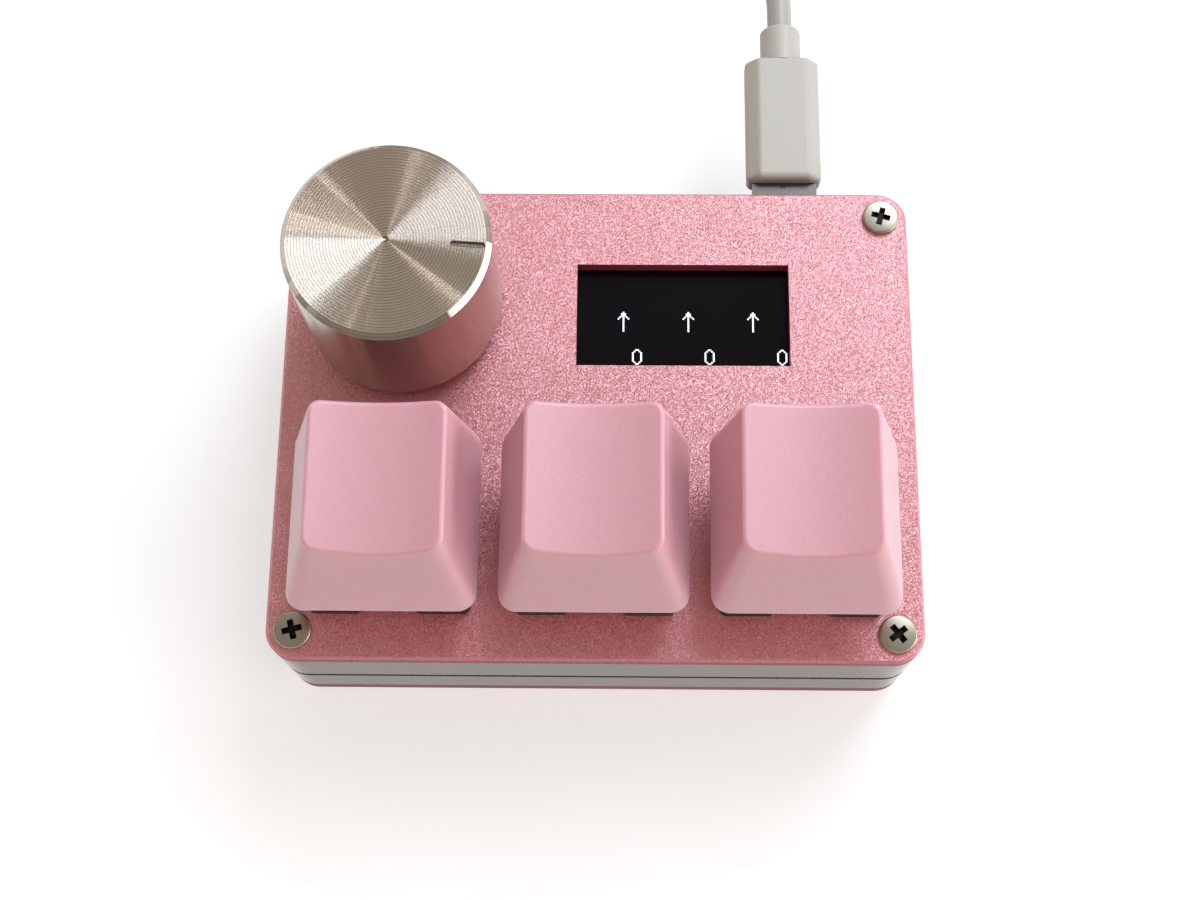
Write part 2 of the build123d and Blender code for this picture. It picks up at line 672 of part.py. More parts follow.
with BuildPart() as encoder_rotor:
    with BuildSketch(Plane.XY.offset(Z_ROTOR)):
        with Locations((KNOB_X, KNOB_Y)):
            Circle(ROTOR_D / 2)
    extrude(amount=ROTOR_T)
    with BuildSketch(Plane.XY.offset(Z_ROTOR)):
        with Locations((KNOB_X, KNOB_Y)):
            Circle(SHAFT_TAIL_D / 2 + RUNNING_FIT)
            Rectangle(
                SHAFT_TAIL_FLAT + 2 * RUNNING_FIT, SHAFT_TAIL_D + 1, mode=Mode.INTERSECT
            )
    extrude(amount=ROTOR_T, mode=Mode.SUBTRACT)
encoder_rotor.part.label = "encoder_rotor"
export_step(encoder_rotor.part, "parts/encoder_rotor.step")

with BuildPart() as encoder_shaft:
    with BuildSketch(Plane.XY.offset(Z_SHAFT_FOOT)):
        with Locations((KNOB_X, KNOB_Y)):
            Circle(SHAFT_TAIL_D / 2)
            Rectangle(SHAFT_TAIL_FLAT, SHAFT_TAIL_D + 1, mode=Mode.INTERSECT)
    extrude(amount=Z_SHAFT_STEP - Z_SHAFT_FOOT)
    with BuildSketch(Plane.XY.offset(Z_SHAFT_STEP)):
        with Locations((KNOB_X, KNOB_Y)):
            Circle(SHAFT_D / 2)
    extrude(amount=Z_SHAFT_TOP - Z_SHAFT_STEP)
    chamfer(encoder_shaft.edges().group_by(Axis.Z)[-1], SHAFT_CHAMFER)
    with BuildSketch(Plane.XY.offset(Z_INSERT)):
        with Locations((KNOB_X, KNOB_Y + SHAFT_FLAT)):
            Rectangle(SHAFT_D + 1, SHAFT_D)
    extrude(amount=Z_SHAFT_TOP - Z_CAVITY_TOP + 1, mode=Mode.SUBTRACT)
encoder_shaft.part.label = "encoder_shaft"
export_step(encoder_shaft.part, "parts/encoder_shaft.step")

with BuildPart() as knob_insert:
    with BuildSketch(Plane.XY.offset(Z_INSERT)):
        with Locations((KNOB_X, KNOB_Y)):
            Circle(INSERT_D / 2)
    extrude(amount=Z_INSERT_TOP - Z_INSERT)
    with BuildSketch(Plane.XY.offset(Z_INSERT)):
        with Locations((KNOB_X, KNOB_Y)):
            Circle(SHAFT_D / 2 + BORE_FIT)
        with Locations((KNOB_X, KNOB_Y + SHAFT_FLAT + 2 * BORE_FIT)):
            Rectangle(SHAFT_D + 1, SHAFT_D, mode=Mode.SUBTRACT)
    extrude(amount=Z_SHAFT_TOP + BORE_END_GAP - Z_INSERT, mode=Mode.SUBTRACT)
knob_insert.part.label = "knob_insert"
export_step(knob_insert.part, "parts/knob_insert.step")

with BuildPart() as knob:
    with BuildSketch(Plane((KNOB_X, KNOB_Y, 0), x_dir=(1, 0, 0), z_dir=(0, -1, 0))):
        with BuildLine():
            radius = KNOB_D / 2
            Polyline(
                (0, Z_KNOB_TOP - KNOB_DIMPLE_H),
                (KNOB_DIMPLE_R, Z_KNOB_TOP),
                (radius - KNOB_CHAMFER, Z_KNOB_TOP),
                (radius, Z_KNOB_TOP - KNOB_CHAMFER),
                (radius, Z_KNOB + KNOB_CHAMFER),
                (radius - KNOB_CHAMFER, Z_KNOB),
                (KNOB_CAVITY_R, Z_KNOB),
                (KNOB_CAVITY_R, Z_CAVITY_TOP),
                (INSERT_D / 2, Z_CAVITY_TOP),
                (INSERT_D / 2, Z_INSERT_TOP),
                (0, Z_INSERT_TOP),
                close=True,
            )
        make_face()
    revolve(axis=KNOB_AXIS)
    with BuildSketch(Plane.XY.offset(Z_KNOB_TOP)):
        pointer_l = POINTER_OUTER_R - POINTER_INNER_R
        reach = (POINTER_INNER_R + POINTER_OUTER_R) / 2
        turn = radians(POINTER_ANGLE)
        with Locations((KNOB_X + reach * cos(turn), KNOB_Y + reach * sin(turn))):
            SlotOverall(pointer_l, POINTER_W, rotation=POINTER_ANGLE)
    extrude(amount=-POINTER_DEPTH, mode=Mode.SUBTRACT)
knob.part.label = "knob"
export_step(knob.part, "parts/knob.step")

# ---------------------------------------------------------------- switches and keycaps

FLANGE_W = 15.9
FLANGE_T = 1.0
FLANGE_NOTCH_W = 5.8
FLANGE_NOTCH_D = 0.6
HOUSING_R = 0.8
LOWER_W = 13.9
LOWER_R = 0.4
LOWER_WALL = 0.8
LOWER_FLOOR_T = 0.8
CLIP_W = 4.0
CLIP_D = 0.6
CLIP_H = 1.3
CLIP_GAP = 0.1
LEG_SLOT_W = 1.2
LEG_SLOT_D = 0.6
POLE_D = 3.5
POLE_H = 3.2
PLUNGER_D = 1.84
PLUNGER_BORE_D = 2.0
PEG_L = 3.3
PEG_TIP_T = 0.8
UPPER_TOP = 6.6
UPPER_BASE_W = 14.6
UPPER_TOP_W = 11.0
UPPER_TOP_D = 10.4
UPPER_WALL = 0.9
UPPER_CEILING_T = 1.2
STEM_HOLE_W = 7.7
STEM_HOLE_D = 6.1
STEM_HOLE_R = 0.4
SLIDER_W = 7.4
SLIDER_D = 5.8
SLIDE_GAP = 0.2
SKID_W = 8.8
SKID_D = 7.0
SKID_H = 3.8
SKID_ROOF_T = 0.6
SKID_BORE_D = 5.3
STEM_TOP = 10.2
Z_FLOOR = Z_BOARD_TOP + LOWER_FLOOR_T
Z_FLANGE_TOP = Z_TOP + FLANGE_T
Z_UPPER_TOP = Z_TOP + UPPER_TOP
Z_SHOULDER = Z_UPPER_TOP - SLIDE_GAP
Z_SKID_TOP = Z_UPPER_TOP - UPPER_CEILING_T - SLIDE_GAP
Z_SKID = Z_SKID_TOP - SKID_H
Z_SPRING_TOP = Z_SKID_TOP - SKID_ROOF_T
PLUNGER_FOOT = 2.0
SOCKET_T = 1.8
SOCKET_BODY_XY = (-2.2, 3.1)
SOCKET_BODY_W = 6.4
SOCKET_BODY_D = 2.6
SOCKET_TAIL_XY = (1.6, 5.08)
SOCKET_TAIL_W = 5.2
SOCKET_TAIL_D = 3.2
SOCKET_SLOT_W = 1.1
SOCKET_SLOT_D = 0.4
SOCKET_GAP = 0.1
CONTACT_W = 1.0
CONTACT_T = 0.25
CONTACT_TOP = 3.4
LEAF_W = 2.2
LEAF_Y = 5.08
SPRING_SEAT_GAP = 0.02
SOCKET_CROSS = STEM_CROSS + 0.1
SOCKET_CROSS_T = STEM_CROSS_T + 0.06
POST_GAP = 0.05
POST_SINK = 0.15


def make_lower_housing(name, x):
    with BuildPart() as lower:
        with BuildSketch(Plane.XY.offset(Z_BOARD_TOP)):
            with Locations((x, KEY_Y)):
                RectangleRounded(LOWER_W, LOWER_W, LOWER_R)
        extrude(amount=PLATE_TO_BOARD)
        with BuildSketch(Plane.XY.offset(Z_TOP)):
            with Locations((x, KEY_Y)):
                RectangleRounded(FLANGE_W, FLANGE_W, HOUSING_R)
            for side in (-1, 1):
                with Locations((x, KEY_Y + side * (FLANGE_W - FLANGE_NOTCH_D) / 2)):
                    Rectangle(FLANGE_NOTCH_W, FLANGE_NOTCH_D, mode=Mode.SUBTRACT)
        extrude(amount=FLANGE_T)
        with BuildSketch(Plane.XY.offset(Z_FLOOR)):
            with Locations((x, KEY_Y)):
                Rectangle(LOWER_W - 2 * LOWER_WALL, LOWER_W - 2 * LOWER_WALL)
                Circle(POLE_D / 2, mode=Mode.SUBTRACT)
        extrude(amount=PLATE_TO_BOARD + FLANGE_T, mode=Mode.SUBTRACT)
        with BuildSketch(Plane.XY.offset(Z_FLOOR + POLE_H)):
            with Locations((x, KEY_Y)):
                Circle(POLE_D)
        extrude(amount=PLATE_TO_BOARD, mode=Mode.SUBTRACT)
        with BuildSketch(Plane.XY.offset(Z_BOARD_TOP)):
            with Locations((x, KEY_Y)):
                Circle(SWITCH_PEG_D / 2)
        extrude(amount=-PEG_L)
        with BuildSketch(Plane.XY.offset(Z_FLOOR + POLE_H)):
            with Locations((x, KEY_Y)):
                Circle(PLUNGER_BORE_D / 2)
        extrude(amount=PEG_TIP_T - POLE_H - LOWER_FLOOR_T - PEG_L, mode=Mode.SUBTRACT)
        with BuildSketch(Plane.XY.offset(Z_BOARD_TOP)):
            with Locations(*[(x + px, KEY_Y + py) for px, py in SWITCH_PINS]):
                Rectangle(LEG_SLOT_W, LEG_SLOT_D)
        extrude(amount=LOWER_FLOOR_T, mode=Mode.SUBTRACT)
        with BuildSketch(Plane.XY.offset(Z_TOP_PLATE - CLIP_GAP)):
            for side in (-1, 1):
                with Locations((x, KEY_Y + side * LOWER_W / 2)):
                    Rectangle(CLIP_W, CLIP_D)
        extrude(amount=-CLIP_H)
    lower.part.label = name
    export_step(lower.part, f"parts/{name}.step")


def make_upper_housing(name, x):
    with BuildPart() as upper:
        with BuildSketch(Plane.XY.offset(Z_FLANGE_TOP)):
            with Locations((x, KEY_Y)):
                RectangleRounded(UPPER_BASE_W, UPPER_BASE_W, HOUSING_R)
        with BuildSketch(Plane.XY.offset(Z_UPPER_TOP)):
            with Locations((x, KEY_Y)):
                RectangleRounded(UPPER_TOP_W, UPPER_TOP_D, HOUSING_R)
        loft()
        with BuildSketch(Plane.XY.offset(Z_FLANGE_TOP)):
            with Locations((x, KEY_Y)):
                Rectangle(UPPER_BASE_W - 2 * UPPER_WALL, UPPER_BASE_W - 2 * UPPER_WALL)
        with BuildSketch(Plane.XY.offset(Z_UPPER_TOP - UPPER_CEILING_T)):
            with Locations((x, KEY_Y)):
                Rectangle(UPPER_TOP_W - UPPER_WALL, UPPER_TOP_D - UPPER_WALL)
        loft(mode=Mode.SUBTRACT)
        with BuildSketch(Plane.XY.offset(Z_UPPER_TOP)):
            with Locations((x, KEY_Y)):
                RectangleRounded(STEM_HOLE_W, STEM_HOLE_D, STEM_HOLE_R)
        extrude(amount=-UPPER_CEILING_T, mode=Mode.SUBTRACT)
    upper.part.label = name
    export_step(upper.part, f"parts/{name}.step")


def make_contacts(name, x):
    """Two sheet contacts whose legs pass through the housing floor and the board."""
    with BuildPart() as contacts:
        with BuildSketch(Plane.XY.offset(Z_BOARD_TOP - PEG_L)):
            with Locations(*[(x + px, KEY_Y + py) for px, py in SWITCH_PINS]):
                Rectangle(CONTACT_W, CONTACT_T)
        extrude(amount=PEG_L + LOWER_FLOOR_T + CONTACT_T)
        for px, py in SWITCH_PINS:
            with BuildSketch(Plane.XY.offset(Z_FLOOR)):
                with Locations((x + px, KEY_Y + (py + LEAF_Y) / 2)):
                    Rectangle(CONTACT_W, LEAF_Y - py + CONTACT_T)
            extrude(amount=CONTACT_T)
            with BuildSketch(Plane.XY.offset(Z_FLOOR)):
                with Locations((x + px, KEY_Y + LEAF_Y)):
                    Rectangle(LEAF_W, CONTACT_T)
            extrude(amount=CONTACT_TOP)
    contacts.part.label = name
    export_step(contacts.part, f"parts/{name}.step")


def make_socket(name, x):
    """The socket under the board that the switch's two legs push into."""
    with BuildPart() as socket:
        with BuildSketch(Plane.XY.offset(Z_BOARD)):
            with Locations((x + SOCKET_BODY_XY[0], KEY_Y + SOCKET_BODY_XY[1])):
                Rectangle(SOCKET_BODY_W, SOCKET_BODY_D)
            with Locations((x + SOCKET_TAIL_XY[0], KEY_Y + SOCKET_TAIL_XY[1])):
                Rectangle(SOCKET_TAIL_W, SOCKET_TAIL_D)
            with Locations(*[(x + px, KEY_Y + py) for px, py in SWITCH_PINS]):
                Rectangle(SOCKET_SLOT_W, SOCKET_SLOT_D, mode=Mode.SUBTRACT)
            with Locations((x, KEY_Y)):
                Circle(PEG_HOLE_D / 2 + SOCKET_GAP, mode=Mode.SUBTRACT)
        extrude(amount=-SOCKET_T)
    socket.part.label = name
    export_step(socket.part, f"parts/{name}.step")


def make_spring(name, x):
    length = Z_SPRING_TOP - Z_FLOOR
    lift = length - SPRING_WIRE - 2 * SPRING_SEAT_GAP
    pitch = lift / SPRING_TURNS
    start = Z_FLOOR + SPRING_WIRE / 2 + SPRING_SEAT_GAP
    with BuildPart() as spring:
        with BuildLine() as coil:
            Helix(pitch, lift, SPRING_D / 2, center=(x, KEY_Y, start))
        with BuildSketch(Plane(coil.line @ 0, x_dir=(1, 0, 0), z_dir=coil.line % 0)):
            Rectangle(SPRING_WIRE, SPRING_WIRE)
        sweep(is_frenet=True)
    spring.part.label = name
    export_step(spring.part, f"parts/{name}.step")


def cross_outline(across, thickness):
    Rectangle(across, thickness)
    Rectangle(thickness, across)


def make_stem(name, x):
    with BuildPart() as stem:
        with BuildSketch(Plane.XY.offset(Z_SKID)):
            with Locations((x, KEY_Y)):
                Rectangle(SKID_W, SKID_D)
        extrude(amount=Z_SKID_TOP - Z_SKID)
        with BuildSketch(Plane.XY.offset(Z_SKID)):
            with Locations((x, KEY_Y)):
                Circle(SKID_BORE_D / 2)
        extrude(amount=Z_SPRING_TOP - Z_SKID, mode=Mode.SUBTRACT)
        with BuildSketch(Plane.XY.offset(Z_SKID_TOP)):
            with Locations((x, KEY_Y)):
                RectangleRounded(SLIDER_W, SLIDER_D, STEM_HOLE_R)
        extrude(amount=Z_SHOULDER - Z_SKID_TOP)
        with BuildSketch(Plane.XY.offset(Z_SHOULDER)):
            with Locations((x, KEY_Y)):
                cross_outline(STEM_CROSS, STEM_CROSS_T)
        extrude(amount=Z_TOP + STEM_TOP - Z_SHOULDER)
        with BuildSketch(Plane.XY.offset(Z_SPRING_TOP)):
            with Locations((x, KEY_Y)):
                Circle(PLUNGER_D / 2)
        extrude(amount=-(Z_SPRING_TOP - Z_BOARD_TOP - PLUNGER_FOOT))
    stem.part.label = name
    export_step(stem.part, f"parts/{name}.step")


def tapered(height, base, top):
    """A width part of the way up the keycap, on the straight line from its base to its top."""
    return base + (top - base) * height / KEYCAP_H


def make_keycap(name, x):
    """A sculpted cap: leaning walls, a cylindrical dish, a thin shell and a post with a cross socket."""
    tilt = radians(KEYCAP_TILT)
    half = KEYCAP_TOP_W / 2
    dish_r = (half * half + KEYCAP_DISH * KEYCAP_DISH) / (2 * KEYCAP_DISH)
    top_normal = (0, -sin(tilt), cos(tilt))
    crown = Plane((x, KEY_Y + KEYCAP_TOP_SHIFT, Z_SKIRT + KEYCAP_H), x_dir=(1, 0, 0), z_dir=top_normal)
    dish_centre = crown.from_local_coords((0, 0, dish_r - KEYCAP_DISH))
    with BuildPart() as cap:
        with BuildSketch(Plane((x, KEY_Y, Z_SKIRT))):
            RectangleRounded(KEYCAP_W, KEYCAP_W, KEYCAP_R)
        with BuildSketch(crown):
            RectangleRounded(KEYCAP_TOP_W, KEYCAP_TOP_D, KEYCAP_TOP_R)
        loft()
        with BuildSketch(Plane(dish_centre, x_dir=(1, 0, 0), z_dir=crown.y_dir)):
            Circle(dish_r)
        extrude(amount=KEYCAP_W, both=True, mode=Mode.SUBTRACT)
        dish = cap.faces().filter_by(GeomType.CYLINDER).sort_by(SortBy.AREA)[-1]
        fillet(dish.edges(), KEYCAP_EDGE_R)
        inner_w = tapered(KEYCAP_CEILING, KEYCAP_W, KEYCAP_TOP_W) - 2 * KEYCAP_WALL
        inner_d = tapered(KEYCAP_CEILING, KEYCAP_W, KEYCAP_TOP_D) - 2 * KEYCAP_WALL
        inner_shift = tapered(KEYCAP_CEILING, 0, KEYCAP_TOP_SHIFT)
        with BuildSketch(Plane((x, KEY_Y, Z_SKIRT))):
            Rectangle(KEYCAP_W - 2 * KEYCAP_WALL, KEYCAP_W - 2 * KEYCAP_WALL)
        with BuildSketch(Plane((x, KEY_Y + inner_shift, Z_SKIRT + KEYCAP_CEILING))):
            Rectangle(inner_w, inner_d)
        loft(mode=Mode.SUBTRACT)
        with BuildSketch(Plane.XY.offset(Z_SHOULDER + POST_GAP)):
            with Locations((x, KEY_Y)):
                Circle(KEYCAP_POST_D / 2)
                Rectangle(SOCKET_CROSS, SOCKET_CROSS_T, mode=Mode.SUBTRACT)
                Rectangle(SOCKET_CROSS_T, SOCKET_CROSS, mode=Mode.SUBTRACT)
        extrude(amount=Z_SKIRT + KEYCAP_CEILING + POST_SINK - Z_SHOULDER)
    cap.part.label = name
    export_step(cap.part, f"parts/{name}.step")


for number, key_x in enumerate(KEY_XS, start=1):
    make_lower_housing(f"switch_{number}_lower_housing", key_x)
    make_upper_housing(f"switch_{number}_upper_housing", key_x)
    make_contacts(f"switch_{number}_contacts", key_x)
    make_socket(f"switch_{number}_socket", key_x)
    make_spring(f"switch_{number}_spring", key_x)
    make_stem(f"switch_{number}_stem", key_x)
    make_keycap(f"keycap_{number}", key_x)

# ---------------------------------------------------------------- cable

COIL_OUTER_R = COIL_R + (COIL_COLUMNS - 1) / 2 * CABLE_D
COIL_W = COIL_COLUMNS * CABLE_D
COIL_H = COIL_ROWS * CABLE_D
COIL_ENTRY_Y = COIL_Y - COIL_OUTER_R
COIL_EXIT_Y = COIL_Y + COIL_OUTER_R
Z_CABLE = CABLE_D / 2
Z_COIL_LOW_TURN = TIE_T + CABLE_D / 2
Z_COIL_MID_TURN = TIE_T + COIL_H / 2
Z_USB_A = USB_A_MOLD_T / 2
X_USB_A_RELIEF = COIL_X + USB_A_FROM_COIL
X_USB_A_MOLD = X_USB_A_RELIEF + USB_A_RELIEF_L
X_USB_A_SHELL = X_USB_A_MOLD + USB_A_MOLD_L
Y_USB_A = COIL_EXIT_Y

# The route from the strain relief down to the surface and round to the left into the coil
ROUTE_IN = [
    (PORT_X, Y_CABLE, Z_PORT),
    (PORT_X, Y_CABLE + 7.5, Z_PORT),
    (18.3, Y_CABLE + 14.3, 11.3),
    (14.1, Y_CABLE + 19.7, 6.6),
    (6.6, COIL_ENTRY_Y - 0.6, 2.4),
    (-2.0, COIL_ENTRY_Y - 0.2, Z_CABLE),
    (-10.5, COIL_ENTRY_Y + 0.7, Z_COIL_LOW_TURN),
]

# The route from the middle turn of the coil to the far-end plug
ROUTE_OUT = [
    (COIL_X + 3.0, COIL_EXIT_Y - 0.3, Z_COIL_MID_TURN),
    (COIL_X + 7.2, Y_USB_A - 0.1, Z_COIL_MID_TURN - 0.3),
    (COIL_X + 11.2, Y_USB_A, Z_USB_A),
    (X_USB_A_RELIEF, Y_USB_A, Z_USB_A),
]


def bend_radii(points):
    """The largest arc that fits each corner of a route, from its two runs and its turn."""
    radii = []
    for before, at, after in zip(points, points[1:], points[2:]):
        run_in = Vector(*at) - Vector(*before)
        run_out = Vector(*after) - Vector(*at)
        turn_angle = radians(run_in.get_angle(run_out))
        shorter = min(run_in.length, run_out.length)
        radii.append(0.45 * shorter / (sin(turn_angle / 2) / cos(turn_angle / 2)))
    return radii


def make_tube(name, points):
    radii = bend_radii(points)
    with BuildPart() as tube:
        with BuildLine() as path:
            FilletPolyline(*points, radius=radii)
        with BuildSketch(Plane(path.line @ 0, z_dir=path.line % 0)):
            Circle(CABLE_D / 2)
        sweep()
    length = sum(edge.length for edge in path.edges())
    print(name, "radii", [round(r, 1) for r in radii], "length", round(length, 1))
    print(name, "volume", round(tube.part.volume, 1), "section", round(pi * CABLE_D**2 / 4 * length, 1))
    tube.part.label = name
    export_step(tube.part, f"parts/{name}.step")


make_tube("cable", ROUTE_IN)
make_tube("cable_end", ROUTE_OUT)

COIL_AXIS = Axis((COIL_X, COIL_Y, 0), (0, 0, 1))

with BuildPart() as cable_coil:
    with BuildSketch(Plane((COIL_X, COIL_Y, TIE_T), x_dir=(1, 0, 0), z_dir=(0, -1, 0))) as winding:
        with Locations((COIL_R, COIL_H / 2)):
            Rectangle(COIL_W, COIL_H)
        chamfer(winding.vertices(), COIL_EDGE)
    revolve(axis=COIL_AXIS)
cable_coil.part.label = "cable_coil"
export_step(cable_coil.part, "parts/cable_coil.step")

with BuildPart() as cable_ties:
    for turn in TIE_TURNS:
        side = radians(turn)
        outward = (cos(side), sin(side), 0)
        across = (sin(side), -cos(side), 0)
        with BuildSketch(Plane((COIL_X, COIL_Y, TIE_T), x_dir=outward, z_dir=across)):
            with Locations((COIL_R, COIL_H / 2)):
                RectangleRounded(COIL_W + 2 * TIE_T, COIL_H + 2 * TIE_T, COIL_EDGE + TIE_T)
                RectangleRounded(COIL_W, COIL_H, COIL_EDGE, mode=Mode.SUBTRACT)
        revolve(axis=COIL_AXIS, revolution_arc=TIE_ARC)
cable_ties.part.label = "cable_ties"
export_step(cable_ties.part, "parts/cable_ties.step")

with BuildPart() as usb_a_overmold:
    with BuildSketch(Plane((X_USB_A_MOLD, Y_USB_A, Z_USB_A), x_dir=(0, 1, 0), z_dir=(1, 0, 0))):
        RectangleRounded(USB_A_MOLD_W, USB_A_MOLD_T, USB_A_MOLD_R)
    extrude(amount=USB_A_MOLD_L)
    with BuildSketch(Plane((X_USB_A_RELIEF, Y_USB_A, Z_USB_A), x_dir=(0, 1, 0), z_dir=(1, 0, 0))):
        Circle(RELIEF_D / 2)
    extrude(amount=USB_A_RELIEF_L)
usb_a_overmold.part.label = "usb_a_overmold"
export_step(usb_a_overmold.part, "parts/usb_a_overmold.step")

with BuildPart() as usb_a_shell:
    with BuildSketch(Plane((X_USB_A_SHELL, Y_USB_A, Z_USB_A), x_dir=(0, 1, 0), z_dir=(1, 0, 0))):
        RectangleRounded(USB_A_W, USB_A_T, USB_A_SHELL_R)
        RectangleRounded(
            USB_A_W - 2 * USB_A_WALL, USB_A_T - 2 * USB_A_WALL, USB_A_SHELL_R / 2, mode=Mode.SUBTRACT
        )
    extrude(amount=USB_A_L)
    with BuildSketch(Plane.XY.offset(Z_USB_A)):
        with Locations((X_USB_A_SHELL + USB_A_WINDOW_X, Y_USB_A)):
            with GridLocations(0, USB_A_WINDOW_PITCH, 1, 2):
                Rectangle(USB_A_WINDOW_W, USB_A_WINDOW_D)
    extrude(amount=USB_A_T, mode=Mode.SUBTRACT)
usb_a_shell.part.label = "usb_a_shell"
export_step(usb_a_shell.part, "parts/usb_a_shell.step")

with BuildPart() as usb_a_insert:
    low = Z_USB_A - USB_A_TONGUE_T / 2
    with BuildSketch(Plane((X_USB_A_SHELL, Y_USB_A, low), x_dir=(0, 1, 0), z_dir=(1, 0, 0))):
        Rectangle(USB_A_W - 2 * (USB_A_WALL + USB_A_TONGUE_GAP), USB_A_TONGUE_T)
    extrude(amount=USB_A_L - USB_A_TONGUE_SETBACK)
usb_a_insert.part.label = "usb_a_insert"
export_step(usb_a_insert.part, "parts/usb_a_insert.step")
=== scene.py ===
"""Looks of a small macro keypad: keycaps, a turned knob and a display on stacked plates, with its lead."""

import logging
import math
from dataclasses import dataclass
from enum import Enum
from typing import ClassVar, Sequence

import bmesh
import bpy
from mathutils import Matrix, Quaternion, Vector


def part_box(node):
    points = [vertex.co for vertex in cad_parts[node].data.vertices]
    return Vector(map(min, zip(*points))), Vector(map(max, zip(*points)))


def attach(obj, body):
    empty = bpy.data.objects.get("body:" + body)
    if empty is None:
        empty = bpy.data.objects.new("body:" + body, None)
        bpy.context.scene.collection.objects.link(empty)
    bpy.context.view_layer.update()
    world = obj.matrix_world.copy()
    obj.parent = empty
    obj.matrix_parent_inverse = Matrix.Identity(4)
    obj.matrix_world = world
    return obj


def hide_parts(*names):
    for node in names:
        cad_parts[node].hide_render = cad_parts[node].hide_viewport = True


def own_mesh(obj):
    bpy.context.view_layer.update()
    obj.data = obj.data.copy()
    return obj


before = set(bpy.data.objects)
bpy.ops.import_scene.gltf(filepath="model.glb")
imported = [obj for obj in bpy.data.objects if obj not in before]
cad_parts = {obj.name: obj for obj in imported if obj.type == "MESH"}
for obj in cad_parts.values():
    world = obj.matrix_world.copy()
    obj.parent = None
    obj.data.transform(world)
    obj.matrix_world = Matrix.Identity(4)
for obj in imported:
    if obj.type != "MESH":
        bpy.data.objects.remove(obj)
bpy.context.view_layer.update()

LOG = logging.getLogger("keypad")
MM = 0.001
FULL_TURN = 2 * math.pi
UP = (0.0, 0.0, 1.0)
NOISE_SPAN = (0.3, 0.7)  # nearly all of a noise's values lie between these two
CASE_BODY = "case"  # the body that every added piece rides on

# short names for the type hints
Node = bpy.types.Node
Socket = bpy.types.NodeSocket
Tree = bpy.types.NodeTree
Mesh = bpy.types.Mesh
Thing = bpy.types.Object
Source = Node | Socket | float | Sequence[float]
Inputs = dict[str | int, object]


class Ray(Enum):
    """The kinds of ray that see the white backdrop."""

    CAMERA = "Is Camera Ray"
    GLOSSY = "Is Glossy Ray"
    TRANSMISSION = "Is Transmission Ray"


def metres(*lengths: float) -> Vector:
    """Turns three lengths in millimetres into a place in metres."""
    return Vector(lengths) * MM


def linear(code: str) -> tuple[float, float, float, float]:
    """Turns an sRGB hex colour into the linear colour that the shaders use.

    Args:
        code: A colour such as "#E1AAB4".

    Returns:
        Red, green, blue and an alpha of one.
    """
    levels = [int(code[place : place + 2], 16) / 255 for place in (1, 3, 5)]
    red, green, blue = (v / 12.92 if v <= 0.04045 else ((v + 0.055) / 1.055) ** 2.4 for v in levels)
    return red, green, blue, 1.0


# ---------------------------------------------------------------- nodes


def feed(node: Node, inputs: Inputs) -> None:
    """Sets a node's inputs, or links other nodes into them.

    Args:
        node: The node.
        inputs: By the input's name or place: a value, an output, or a node whose first output is meant.
    """
    for key, value in inputs.items():
        source = value.outputs[0] if isinstance(value, Node) else value
        if isinstance(source, Socket):
            node.id_data.links.new(source, node.inputs[key])
        else:
            node.inputs[key].default_value = source


def add_node(tree: Tree, kind: str, inputs: Inputs | None = None, **settings: object) -> Node:
    """Adds one node to a tree.

    Args:
        tree: The node tree of a material, the world or a modifier.
        kind: The node's type name.
        inputs: Its inputs, as in feed.
        settings: The node's own attributes.

    Returns:
        The new node.
    """
    node = tree.nodes.new(kind)
    for name, value in settings.items():
        setattr(node, name, value)
    feed(node, inputs or {})
    return node


def calc(tree: Tree, operation: str, *inputs: Source) -> Node:
    """Adds a Math node with its inputs in order."""
    return add_node(tree, "ShaderNodeMath", dict(enumerate(inputs)), operation=operation)


def vector_calc(tree: Tree, operation: str, *inputs: Source) -> Node:
    """Adds a Vector Math node with its inputs in order."""
    return add_node(tree, "ShaderNodeVectorMath", dict(enumerate(inputs)), operation=operation)


def scaled(tree: Tree, direction: Source, amount: Source) -> Node:
    """Adds a Vector Math node that makes a direction as long as the amount says."""
    return add_node(tree, "ShaderNodeVectorMath", {0: direction, "Scale": amount}, operation="SCALE")


def parts_of(tree: Tree, vector: Source) -> Sequence[Socket]:
    """Splits a vector or a colour into its three parts."""
    return add_node(tree, "ShaderNodeSeparateXYZ", {0: vector}).outputs


def remap(tree: Tree, source: Source, low: float, high: float, span: Sequence[float] = (0.0, 1.0)) -> Node:
    """Adds a Map Range node.

    Args:
        tree: The node tree.
        source: The value to map.
        low: What the span's start becomes.
        high: What its end becomes.
        span: The values of the source that are mapped; what lies outside is held at its ends.

    Returns:
        The node.
    """
    ends = {"From Min": span[0], "From Max": span[1], "To Min": low, "To Max": high}
    return add_node(tree, "ShaderNodeMapRange", {"Value": source, **ends})


def mix(tree: Tree, share: Source, first: Source, second: Source) -> Socket:
    """Mixes two colours, with all of the second where the share is one."""
    return add_node(tree, "ShaderNodeMix", {0: share, 6: first, 7: second}, data_type="RGBA").outputs[2]


def empty_tree(owner: bpy.types.Material | bpy.types.World) -> Tree:
    """Gives a material or the world an empty node tree."""
    owner.use_nodes = True
    owner.node_tree.nodes.clear()
    return owner.node_tree


# ---------------------------------------------------------------- finishes


